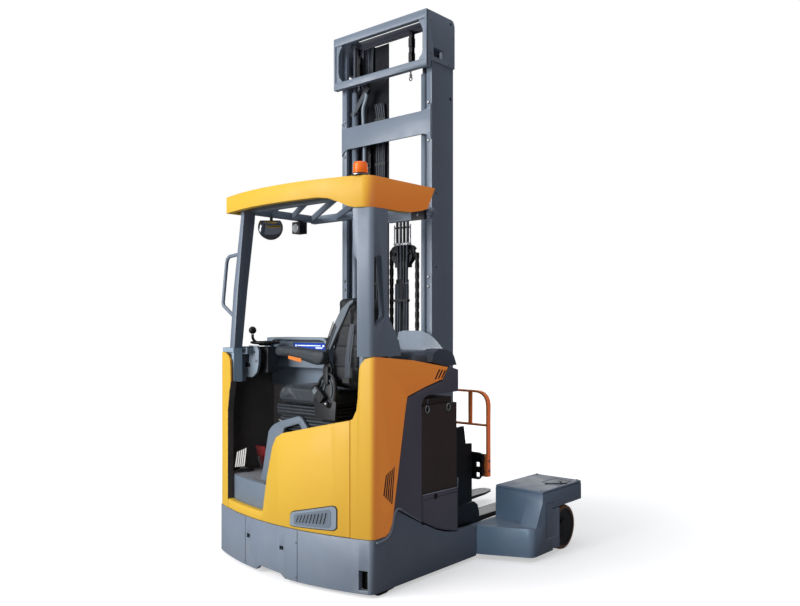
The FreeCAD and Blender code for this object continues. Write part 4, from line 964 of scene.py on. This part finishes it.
p = Piece("side_slots", "truck", "yellow_paint")
for s in (-1, 1):
    for (x0, z0), (x1, z1) in (((520, 1110), (561, 1168)), ((549, 1112), (588, 1165)), ((580, 1115), (614, 1160))):
        lo, hi = sorted((652.7 * s, 650.5 * s))
        # painted shade: dark inside of each slot
        p.prism("XZ", [(x0, z0), (x0 + 13, z0 + 2), (x1 + 13, z1 - 2), (x1, z1)], lo, hi, "painted_hole_shade")
        lo, hi = sorted((653.6 * s, 650.5 * s))
        p.prism("XZ", [(x0 + 13, z0 + 2), (x0 + 17, z0 + 2.5), (x1 + 17, z1 - 2.5), (x1 + 13, z1 - 2)], lo, hi, "yellow_paint")
    for i in range(5):
        xa = 88 + 15.5 * i
        lo, hi = sorted((652.2 * s, 649 * s))
        # painted shade: dark inside of each vent slot
        p.prism("XZ", [(xa - 0.6, 524 - 13 * i), (xa + 9.6, 517 - 13 * i), (xa + 29.6, 632 + 8 * i), (xa + 19.4, 627 + 8 * i)], lo, hi, "painted_hole_shade")
    for i in range(4):
        xa = 88 + 15.5 * i
        lo, hi = sorted((652.9 * s, 650.5 * s))
        p.prism("XZ", [(xa + 9.6, 518 - 13 * i), (xa + 15.0, 512 - 13 * i), (xa + 35.0, 633 + 8 * i), (xa + 29.6, 630 + 8 * i)], lo, hi, "yellow_paint")
lo = -611
# painted shade: dark sheet behind the vent
p.box(76, 190, -611, -609, 440, 700, "painted_hole_shade")
p.done(0.5)

# lifting eyes and latch on the battery side, plate outline
p = Piece("battery_trim", "truck", "black_paint")
for s in (-1, 1):
    for x, z in ((465, 945), (660, 943)):
        c = P(x, 643.5 * s, z)
        p.tube([c + Vector((math.cos(a) * 0.0165, 0, math.sin(a) * 0.020)) for a in [2 * math.pi * k / 24 for k in range(24)]], 4.0, "zinc", 10, 0, None, True)
        # painted shade: dark disc in each lifting eye
        p.lathe([(0, 13), (1.5, 13), (2, 11), (2, 0.5)], P(x, 640 * s, z), Y * s, "painted_hole_shade", 20)
    c = P(536, 648 * s, 446)
    # painted shade: dark disc in the latch hole
    p.lathe([(0, 17), (1.5, 17), (2, 14), (2.0, 0.5)], c, Y * s, "painted_hole_shade", 24)
    lo, hi = sorted((648.7 * s, 647 * s))
    for a, b in (((424, 440), (740, 440)), ((424, 440), (424, 330)), ((740, 440), (740, 226))):
        dx, dz = (1.3, 0) if a[0] == b[0] else (0, 1.3)
        p.prism("XZ", [(a[0] - dx, a[1] - dz), (b[0] + dx, b[1] - dz), (b[0] + dx, b[1] + dz), (a[0] - dx, a[1] + dz)], lo, hi, "dark_seam_and_shade")
    # pale lines: painted highlight along the plate's lower and front edge
    for (x0_, z0_), (x1_, z1_) in (((418, 470), (742, 465)), ((742, 465), (746, 520))):
        p.tube([P(x0_, 648.5 * s, z0_), P(x1_, 648.5 * s, z1_)], 2.6, "painted_highlight_grey", 8)
p.done(0)
# plain battery side plates
p = Piece("battery_plates", "truck", "battery_black")
for s in (-1, 1):
    lo, hi = sorted((640 * s, 606.4 * s))
    p.prism("XZ", [(418, 470), (747, 465), (747, 966), (440, 968), (418, 950)], lo, hi, "battery_black")
    lo, hi = sorted((612 * s, 606.4 * s))
    p.box(500, 520, lo, hi, 970, 1000, "column_paint")
p.done(4, 30, 3)

# =====================================================================
# overhead guard fittings
# =====================================================================
p = Piece("beacon_lamp", "truck", "amber_lens")
c = P(10, -560, 2200.2)
p.lathe([(0, 46), (4, 48), (9, 48), (11, 44), (14, 42), (15, 39), (17, 38)], c, Z, "black_plastic", 40)
p.lathe([(5, 48.6), (8, 48.6)], c, Z, "bright_steel", 40, False)
p.lathe([(15, 36), (17, 39), (38, 38.4), (40, 39.4), (43, 38), (66, 37), (71, 35), (75, 30), (77, 20), (77.6, 0.5)], c, Z, "amber_lens", 48)
o = p.done(0)
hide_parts("beacon")

d = Vector((-0.7554, -0.6553, 0))
c = P(243, 448, 2034) + d * 0.0345
u = d.cross(Z).normalized()
p = Piece("mirror_face", "truck", "black_plastic")
def clipped(r, top):
    out = []
    for k in range(64):
        a = 2 * math.pi * k / 64
        y_, z_ = r * math.cos(a), min(r * math.sin(a), top)
        out.append(c + u * y_ / 1000 + Z * z_ / 1000)
    return out
p.tube(clipped(73, 40), 3.6, "black_plastic", 8, 0, None, True)
vs = clipped(70, 37)
ctr = c + d * 0.009
p._faces([ctr] + vs, [(0, i + 1, (i + 1) % 64 + 1) for i in range(64)], "mirror_glass", True)
p.done(0)
p = Piece("lamp_faces", "truck", "black_plastic")
p.lathe([(0, 28), (4, 28), (5, 25), (5.5, 0.5)], P(450, 448, 2052), -X, "lamp_glass", 28)
for k in range(5):
    p.box(462 + 9 * k, 465 + 9 * k, 409.5, 412.5, 2024, 2086, "black_plastic")
p.bolt(P(586, -473, 2068), -X, 5, "zinc")
p.done(0.6)

# curved light end of the front roof bar
p = Piece("roof_bar_end", "truck", "grey_paint")
pts = []
for k in range(9):
    a = math.radians(-10 + 12 * k)
    pts.append(P(622 - 8 * math.sin(a), -545 - 26 * math.sin(a), 2100 - 46 + 46 * math.cos(a) * 0.9))
p.tube([P(622, -470, 2072), P(622, -520, 2072), P(620, -548, 2078), P(612, -562, 2092)], 22, "grey_paint", 16, 4)
p.done(0)

# =====================================================================
# mast furniture
# =====================================================================
p = Piece("mast_cover", "mast_in", "black_paint")
p.box(930, 935, 62, 262, 240, 3300, "mast_black")
p.box(926, 931, 62, 76, 240, 3300, "mast_black")
for z in range(420, 3300, 330):
    p.bolt(P(930, 90, z), -X, 6, "chain_steel")
p.done(1.0)
p = Piece("mast_hoses", "mast_in", "black_plastic")
for y, r, m in ((88, 8, "hose"), (106, 8, "hose_cover"), (124, 8, "hose"), (141, 7, "hose_cover"), (158, 7, "hose")):
    p.tube([P(918, y, 260), P(918, y, 1200), P(918, y, 2000), P(918, y, 2830), P(914, y + 3, 2880), P(906, y + 10, 2905)], r, m, 10)
for y in (196, 214, 232, 250):
    p.tube([P(916, y, 3080), P(916, y, 3200), P(916, y, 3296)], 8, "hose" if y % 4 else "hose_cover", 10)
for z in (500, 900, 1300, 1700, 2100, 2500, 2800):
    p.box(908, 930, 76, 170, z - 9, z + 9, "black_plastic")
p.chain(P(914, 214, 1100), P(914, 214, 2760), 34, 22, "chain_steel", X)
p.done(0)

p = Piece("mast_chains_top", "reach", "black_paint")
p.chain(P(868, -191, 3062), P(868, -191, 3296), 42, 38, "chain_steel", X)
p.chain(P(868, 268, 3062), P(868, 268, 3230), 42, 38, "chain_steel", X)
for y in (-191, 268):
    p.lathe([(0, 5), (10, 5), (11, 9), (20, 9), (22, 5), (64, 5)], P(858, y, 3000), Z, "zinc", 14)
    p.tube([P(858, y, 3006) + Vector((0, math.cos(a) * 0.011, math.sin(a) * 0.013 - 0.012)) for a in [2 * math.pi * k / 14 for k in range(14)]], 3, "chain_steel", 8, 0, None, True)
    p.lathe([(0, 14), (3, 14), (3.5, 10), (13, 10)], P(858, y, 3056.5), Z, "zinc", 6)
p.done(0)

p = Piece("mast_lines", "reach", "black_plastic")
a, b = P(846, 318, 2836), P(846, 172, 3006)
d = (b - a).normalized()
e = X.cross(d).normalized()
p.oblique((a + b) / 2, d * (b - a).length / 2, e * 0.017, X * 0.004, "hose_cover")
p.oblique(a + d * 0.02, d * 0.016, e * 0.021, X * 0.008, "black_plastic")
p.oblique(b - d * 0.02, d * 0.016, e * 0.021, X * 0.008, "black_plastic")
p.tube([P(852, 188, 2996), P(852, 196, 2940), P(852, 222, 2880), P(852, 222, 2800), P(852, 212, 2640), P(852, 211, 2400), P(852, 211, 2150), P(852, 225, 1900), P(852, 225, 700)], 12, "light_plastic", 12, 5)
for z in (2803, 2762, 2567, 1720, 1660, 1100):
    p.bolt(P(822, 366, z), -X, 7, "bright_steel")
    p.bolt(P(822, -366, z), -X, 7, "zinc")
p.done(0)

# mast rail holes and screws on both outer sides
p = Piece("mast_marks", "reach", "grey_paint")
for s in (-1, 1):
    # painted shade: dark discs for the rail holes and the small holes
    p.lathe([(0, 11), (0.8, 11), (1.0, 9), (1.0, 0.5)], P(1010, 392 * s, 2858), Y * s, "painted_hole_shade", 24)
    p.lathe([(0, 9), (0.8, 9), (1.0, 7), (1.0, 0.5)], P(997, 405 * s, 3327), Y * s, "painted_hole_shade", 24)
    for x, z in ((800, 3300), (800, 3100), (975, 3068), (1020, 3250)):
        p.bolt(P(x, 405 * s, z), Y * s, 6, "zinc")
    for z in range(400, 2700, 460):
        p.lathe([(0, 6), (0.8, 6), (1.0, 4.5), (1.0, 0.5)], P(865, 392 * s, z), Y * s, "painted_hole_shade", 16)
# plates between the two upper cross beams, and corner fillets on the middle one
for s in (-1, 1):
    lo, hi = (764, 772)
    p.prism("YZ", [(405 * s, 3008), (405 * s, 3357), (338 * s, 3357), (338 * s, 3292), (352 * s, 3276), (368 * s, 3240), (370 * s, 3130), (360 * s, 3090), (338 * s, 3070), (338 * s, 3008)], 762, 768, "grey_paint")
    p.prism("YZ", [(s * 388, 2612), (s * 388, 2570), (s * 368, 2600), (s * 330, 2612)], 813, 825, "grey_paint")
    p.prism("YZ", [(s * 388, 2757), (s * 388, 2796), (s * 368, 2768), (s * 330, 2757)], 813, 825, "grey_paint")
p.done(1.0)

# head of the free-lift ram: yoke, sheaves, hoses and clamp
FY = -38.0
p = Piece("ram_head", "freelift", "black_paint")
p.cyl(P(955, FY, 160), P(955, FY, 1830), 24.9, "bright_steel", 28)
p.prism("YZ", [(FY - 92, 1850), (FY - 96, 1874), (FY - 84, 1910), (FY - 58, 1938), (FY - 52, 1962), (FY + 38, 1962), (FY + 44, 1938), (FY + 70, 1910), (FY + 80, 1874), (FY + 76, 1850), (FY + 46, 1818), (FY - 62, 1818)], 938, 950, "black_paint")
p.prism("YZ", [(FY - 92, 1850), (FY - 96, 1874), (FY - 84, 1910), (FY - 58, 1938), (FY - 52, 1962), (FY + 38, 1962), (FY + 44, 1938), (FY + 70, 1910), (FY + 80, 1874), (FY + 76, 1850), (FY + 46, 1818), (FY - 62, 1818)], 968, 978, "black_paint")
p.box(930, 980, FY - 62, FY + 46, 1800, 1832, "black_paint")
for y in (FY - 66, FY + 54):
    p.lathe([(0, 40), (3, 40), (5, 33), (13, 33), (15, 40), (18, 40)], P(950, y, 1888), X, "black_paint", 36)
    p.lathe([(0, 12), (14, 12), (15, 9)], P(938, y, 1888), -X, "chain_steel", 20)
    # chain wrapped over the sheave
    for k in range(7 if y < FY else 9):
        a = math.radians(0 + 22.5 * k)
        q = P(959, y, 1888) + Vector((0, math.cos(a), math.sin(a))) * 0.046
        tdir = Vector((0, -math.sin(a), math.cos(a)))
        rdir = Vector((0, math.cos(a), math.sin(a)))
        p.oblique(q, X * (0.011 if k % 2 else 0.008), tdir * 0.011, rdir * 0.0115, "chain_steel")
for k, y in enumerate((FY - 66, FY - 36, FY - 6, FY + 24)):
    m = "hose" if k % 2 else "hose_cover"
    p.tube([P(934, y * 0.75 - 14, 1640), P(932, y * 0.8 - 11, 1760), P(930, y * 0.9 - 6, 1900), P(928, y - 2, 1990), P(930, y, 2090), P(932, y, 2200)], 9.5, m, 12, 4)
p.box(918, 942, FY - 88, FY + 46, 1944, 1958, "bright_steel")
for y in (FY - 90, FY + 47):
    p.box(925, 933, y - 2.5, y + 2.5, 1940, 2080, "bright_steel")
for y in (FY - 78, FY + 36):
    p.bolt(P(918, y, 1951), -X, 5, "zinc")
p.box(914, 944, FY - 84, FY + 42, 2180, 2206, "black_plastic")
p.cyl(P(930, FY - 84, 2060), P(930, FY + 42, 2060), 6, "chain_steel", 12)
o = p.done(1.2, 40, 2)
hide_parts("freelift_head")

# bright fittings and pipes in front of the free-lift tube, chain that follows the head
p = Piece("ram_pipes", "mast_in", "black_paint")
for y0, y1 in ((-6, -38), (-82, -112)):
    p.cyl(P(930, (y0 + y1) / 2, 1648), P(930, (y0 + y1) / 2, 1700), 13, "bright_steel", 20)
    p.cyl(P(930, (y0 + y1) / 2, 1632), P(930, (y0 + y1) / 2, 1650), 16, "zinc", 6)
for y, r in ((-16, 8), (-34, 8), (-54, 7), (-92, 11), (-110, 8)):
    p.tube([P(916, y, 1690 if r != 7 else 1600), P(914, y, 1500), P(912, y, 1300), P(912, y, 900), P(912, y, 300)], r, "hose" if r > 8 else "hose_cover", 10)
for z in (560, 900, 1240, 1330, 1580):
    p.box(904, 930, -122, 2, z - 8, z + 8, "black_plastic" if z != 1330 else "zinc")
p.done(0)

p = Piece("lift_chain_fixed", "freelift", "black_paint")
p.chain(P(959, FY + 100, 300), P(959, FY + 100, 1888), 32, 22, "chain_steel", X)
p.done(0)
p = Piece("lift_chain_load", "carriage", "black_paint")
p.chain(P(959, FY - 122, 600), P(959, FY - 122, 1888), 32, 22, "chain_steel", X)
o = p.done(0)
o.data = evaluated(o)
o.modifiers.clear()
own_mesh(o)

# =====================================================================
# carriage, pods, wheels
# =====================================================================
p = Piece("carriage_bolts", "tilt", "black_paint")
for s in (-1, 1):
    for z in (452 + 15, 517 + 15, 480, 545):
        pass
    for y in (557,):
        for z in (486, 572):
            p.bolt(P(1142.5, s * y, z), X, 8, "zinc")
            p.bolt(P(1121.5, s * (y - 6), z), -X, 8, "chain_steel")
    p.bolt(P(1161, s * 586, 492), Y * s, 6, "zinc")
    p.bolt(P(1161, s * 586, 556), Y * s, 6, "zinc")
# painted shade: dark slots along the carriage bar
for k in range(-4, 5):
    p.box(1139, 1145, 55 * k * 2 - 6, 55 * k * 2 + 6, 596, 603.5, "painted_hole_shade")
p.done(0.4)

p = Piece("pod_trim", "truck", "grey_paint")
for s in (-1, 1):
    def line(a, b, z=407.4, w=1.7):
        q0, q1 = P(a[0], a[1] * s, z), P(b[0], b[1] * s, z)
        d_ = (q1 - q0).normalized()
        p.oblique((q0 + q1) / 2, d_ * ((q1 - q0).length / 2), d_.cross(Z) * w / 1000, Z * 0.0006, "dark_seam_and_shade")
    line((1446, 800), (1426, 936))
    line((1426, 936), (1590, 930))
    line((1590, 930), (1604, 806))
    line((1604, 806), (1446, 800))
    # painted shade: dark ring hole in the lid
    p.lathe([(0, 13), (1.2, 13), (1.6, 10.5), (1.6, 0.5)], P(1556, 872 * s, 407), Z, "painted_hole_shade", 24)
    p.lathe([(0.8, 9), (2.4, 9), (2.8, 7)], P(1556, 872 * s, 407), Z, "zinc", 18)
    # recessed panel outline on the pod side: dark strips along the top and rear edge are painted shade, the pale strip
    # along the bottom edge is a painted highlight
    lo, hi = sorted((957.9 * s, 956 * s))
    for x0, x1, z0, z1 in ((1239, 1306, 321, 324), (1236, 1239, 107, 324)):
        p.box(x0, x1, lo, hi, z0, z1, "dark_seam_and_shade")
    lo, hi = sorted((958.6 * s, 956 * s))
    p.box(1239, 1308, lo, hi, 104, 107.5, "painted_highlight_grey")
    for x, y in ((1206, 640), (1206, 940), (1655, 640), (1655, 940)):
        p.bolt(P(x, y * s, 407), Z, 6, "zinc", True, True)
p.done(0)


def wheel(name, body, node, cx, cy, cz, r, half, hub, axis, nb, tyre="polyurethane"):
    p = Piece(name, body, "polyurethane")
    o = P(cx, cy - half, cz)
    k = r - hub
    p.lathe([(0, hub), (0, r - k * 0.45), (2, r - k * 0.2), (7, r - 3), (13, r - 0.4), (16, r), (2 * half - 16, r), (2 * half - 13, r - 0.4), (2 * half - 7, r - 3), (2 * half - 2, r - k * 0.2), (2 * half, r - k * 0.45), (2 * half, hub)], o, Y, tyre, 72, False)
    for s, y in ((-1, cy - half), (1, cy + half)):
        d_ = Y * s
        base = P(cx, y, cz)
        prof = [(0, hub + 0.5), (1.5, hub), (2, hub - 6), (-6, hub - 10), (-9, hub - 22), (-9, hub * 0.5), (-2, hub * 0.44), (4, hub * 0.40), (5, hub * 0.36), (5, hub * 0.24), (0, hub * 0.22), (0, 0.5)]
        prof = [(min(h, -0.6) if h >= 0 else h, r_) for h, r_ in prof] if half > 46 else prof
        p.lathe(prof, base, d_, "black_paint", 64, False)
        for b_ in range(nb):
            a = 2 * math.pi * b_ / nb
            q = base - d_ * 0.009 + Vector((math.cos(a), 0, math.sin(a))) * (hub * 0.66) / 1000
            p.bolt(q, d_, 6.5 if hub > 70 else 4, "zinc")
    o = p.done(0)
    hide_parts(node)
    return o


wheel("pod_roller_right", "pod_rolling_right", "pod_wheel_right", 1465, -902.5, 140, 140, 47.5, 118, Y, 0)
wheel("pod_roller_left", "pod_rolling_left", "pod_wheel_left", 1465, 902.5, 140, 140, 47.5, 118, Y, 0)
# wall strip beside the guard plate, latch handles on the lids
p = Piece("pod_latches", "truck", "grey_paint")
for s in (-1, 1):
    lo, hi = sorted((956.6 * s, 958.6 * s))
    p.box(1300, 1325.5, lo, hi, 40, 281, "grey_paint")
    p.tube([P(1405, 847 * s, 409), P(1512, 946 * s, 409)], 3.2, "black_plastic", 8)
    p.tube([P(1481, 917 * s, 409.5), P(1546, 882 * s, 409.5)], 4.2, "black_plastic", 8)
p.done(0)
# guard plate in front of the load wheel and the hub cover, carried by the yoke
for side, s in (("right", -1), ("left", 1)):
    p = Piece("pod_guard_" + side, "pod_steering_" + side, "grey_paint")
    lo, hi = sorted((958.9 * s, 955.2 * s))
    p.prism("XZ", [(1326.5, 34), (1393, 34), (1393, 282), (1326.5, 282)], lo, hi, "grey_paint")
    # pale strips: painted highlight continuing the pod side outline
    lo, hi = sorted((958.95 * s, 958.5 * s))
    p.prism("XZ", [(1366, 107), (1373, 111), (1373, 281), (1366, 281)], lo, hi, "painted_highlight_grey")
    p.prism("XZ", [(1327, 104), (1364, 104), (1369, 106), (1371, 110), (1367.5, 110), (1363, 107.5), (1327, 107.5)], lo, hi, "painted_highlight_grey")
    p.done(0)
    p = Piece("pod_hubcap_" + side, "pod_steering_" + side, "black_paint")
    p.lathe([(0, 58), (1.5, 60), (2.6, 58), (3.0, 52), (3.0, 0.5)], P(1465, 955.6 * s, 140), Y * s, "black_plastic", 48)
    p.prism("XZ", [(1390, 108), (1430, 112), (1430, 168), (1390, 174)], *sorted((958.6 * s, 955.1 * s)), "black_plastic")
    p.done(0)
wheel("drive_roller", "drive_rolling", "drive_wheel", 190, 220, 171.5, 171.5, 70, 128, Y, 8)

# =====================================================================
# studio: pale floor, soft light, camera
# =====================================================================
me = bpy.data.meshes.new("studio_floor")
me.from_pydata([(-60, -60, -0.0005), (60, -60, -0.0005), (60, 60, -0.0005), (-60, 60, -0.0005)], [], [(0, 1, 2, 3)])
floor = bpy.data.objects.new("studio_floor", me)
SCN.collection.objects.link(floor)
fm = bpy.data.materials.new("studio_floor")
fm.use_nodes = True
fn, fl_ = fm.node_tree.nodes, fm.node_tree.links
fb = fn["Principled BSDF"]
fb.inputs["Roughness"].default_value = 0.9
fb.inputs["Specular IOR Level"].default_value = 0.2
ftc = fn.new("ShaderNodeTexCoord")
fno = fn.new("ShaderNodeTexNoise")
fno.inputs["Scale"].default_value = 1.5
fl_.new(ftc.outputs["Object"], fno.inputs["Vector"])
fmx = fn.new("ShaderNodeMix")
fmx.data_type = "RGBA"
fmx.inputs[6].default_value = (0.88, 0.88, 0.88, 1)
fmx.inputs[7].default_value = (0.93, 0.93, 0.93, 1)
fl_.new(fno.outputs["Fac"], fmx.inputs["Factor"])
flp = fn.new("ShaderNodeLightPath")
fm2 = fn.new("ShaderNodeMix")
fm2.data_type = "RGBA"
fm2.inputs[6].default_value = (0.30, 0.30, 0.31, 1)
fl_.new(flp.outputs["Is Camera Ray"], fm2.inputs["Factor"])
fl_.new(fmx.outputs[2], fm2.inputs[7])
fl_.new(fm2.outputs[2], fb.inputs["Base Color"])
fb.inputs["Emission Color"].default_value = (1, 1, 1, 1)
flen = fn.new("ShaderNodeVectorMath")
flen.operation = "LENGTH"
fl_.new(ftc.outputs["Object"], flen.inputs[0])
fmr = fn.new("ShaderNodeMapRange")
fmr.inputs["From Min"].default_value = 1.2
fmr.inputs["From Max"].default_value = 4.0
fmr.inputs["To Min"].default_value = 0.50
fmr.inputs["To Max"].default_value = 1.0
fl_.new(flen.outputs["Value"], fmr.inputs["Value"])
fms = fn.new("ShaderNodeMath")
fms.operation = "MULTIPLY"
fl_.new(fmr.outputs["Result"], fms.inputs[0])
fl_.new(flp.outputs["Is Camera Ray"], fms.inputs[1])
fl_.new(fms.outputs[0], fb.inputs["Emission Strength"])
me.materials.append(fm)

w = bpy.data.worlds.new("studio")
SCN.world = w
w.use_nodes = True
wn, wl = w.node_tree.nodes, w.node_tree.links
bg = wn["Background"]
bg.inputs["Color"].default_value = (0.80, 0.86, 1.0, 1)
bg.inputs["Strength"].default_value = 0.10
bg2 = wn.new("ShaderNodeBackground")
bg2.inputs["Color"].default_value = (1, 1, 1, 1)
bg2.inputs["Strength"].default_value = 1.0
lp = wn.new("ShaderNodeLightPath")
ms = wn.new("ShaderNodeMixShader")
wl.new(lp.outputs["Is Camera Ray"], ms.inputs[0])
wl.new(bg.outputs[0], ms.inputs[1])
wl.new(bg2.outputs[0], ms.inputs[2])
wl.new(ms.outputs[0], wn["World Output"].inputs["Surface"])


def area(name, at, to, size, power, rgb):
    d = bpy.data.lights.new(name, "AREA")
    d.shape = "RECTANGLE"
    d.size, d.size_y = size
    d.energy = power
    d.color = rgb
    o = bpy.data.objects.new(name, d)
    SCN.collection.objects.link(o)
    o.location = at
    o.rotation_euler = (Vector(to) - Vector(at)).to_track_quat("-Z", "Y").to_euler()
    return o


area("key_light", (-7.5, 2.2, 3.6), (-0.6, 0.0, 1.3), (5.0, 5.0), 620, (0.97, 0.98, 1.0))
area("top_light", (-0.5, -0.5, 7.5), (-0.3, 0.0, 0.0), (6.0, 6.0), 150, (0.97, 0.98, 1.0))
area("side_light", (-0.8, -7.5, 2.6), (-0.3, 0.0, 1.3), (5.0, 4.0), 13, (0.9, 0.80, 1.0))


def only(o, names):
    """Flagged light: it reaches only the named pieces."""
    c = bpy.data.collections.new(o.name + "_reach")
    for nm in names:
        ob = NODES.get(nm) or bpy.data.objects.get(nm)
        if ob is not None and ob.name not in c.objects:
            c.objects.link(ob)
    o.light_linking.receiver_collection = c
    return o


only(area("warm_side_light", (-0.8, -7.5, 2.6), (-0.3, 0.0, 1.3), (5.0, 4.0), 225, (1.0, 0.27, 0.62)),
     ("rear_panel", "side_panels", "guard_visor", "side_slots", "panel_seams", "load_backrest", "entry_flare"))
only(area("upper_side_light", (-0.8, -7.5, 2.8), (-0.3, 0.0, 1.5), (5.0, 4.0), 58, (1.0, 0.95, 0.9)),
     ("mast_outer", "mast_middle", "mast_inner", "guard_pillar", "side_columns", "battery_block", "battery_plates", "battery_trim", "guard_frame", "mast_marks",
      "fork_left", "fork_right", "lift_barrels", "mast_lines", "ram_head", "ram_pipes", "freelift_barrel", "mast_hoses", "seat_pad", "arm_pad", "seat_hinge_trim", "seat_folds"))
only(area("pod_light", (-7.5, -2.2, 1.8), (0.0, -0.8, 0.3), (2.5, 2.5), 205, (0.56, 0.80, 1.0)),
     ("leg_right", "pod_lids", "pod_trim", "pod_guard_right", "pod_latches", "post_boot", "console_recess_shade"))
only(area("cab_fill", (-6.5, -2.0, 1.6), (-1.0, 0.2, 0.9), (2.5, 2.0), 150, (1.0, 0.97, 0.97)), ("cab_lining", "entry_edge_trim"))
only(area("skirt_light", (-5.5, -0.5, 0.5), (-1.2, -0.3, 0.15), (2.0, 0.8), 26, (0.97, 0.98, 1.0)), ("chassis_frame", "skirt_seams", "skirt_lip"))
area("front_light", (6.5, 2.5, 3.0), (0.0, 0.0, 1.3), (4.0, 4.0), 60, (1.0, 1.0, 1.0))

SCN.view_settings.view_transform = "Standard"

cam = bpy.data.cameras.new("photo_camera")
co = bpy.data.objects.new("photo_camera", cam)
SCN.collection.objects.link(co)
cam.sensor_width = 36.0
cam.lens = 773.55 / 800 * 36.0
cam.shift_y = 22.0 / 800
cam.clip_end = 200
yaw = math.atan2(0.6553, 0.7554) - math.pi / 2
co.location = (-4.008, -3.379, 1.42)
co.rotation_euler = (math.pi / 2, 0, yaw)
SCN.camera = co
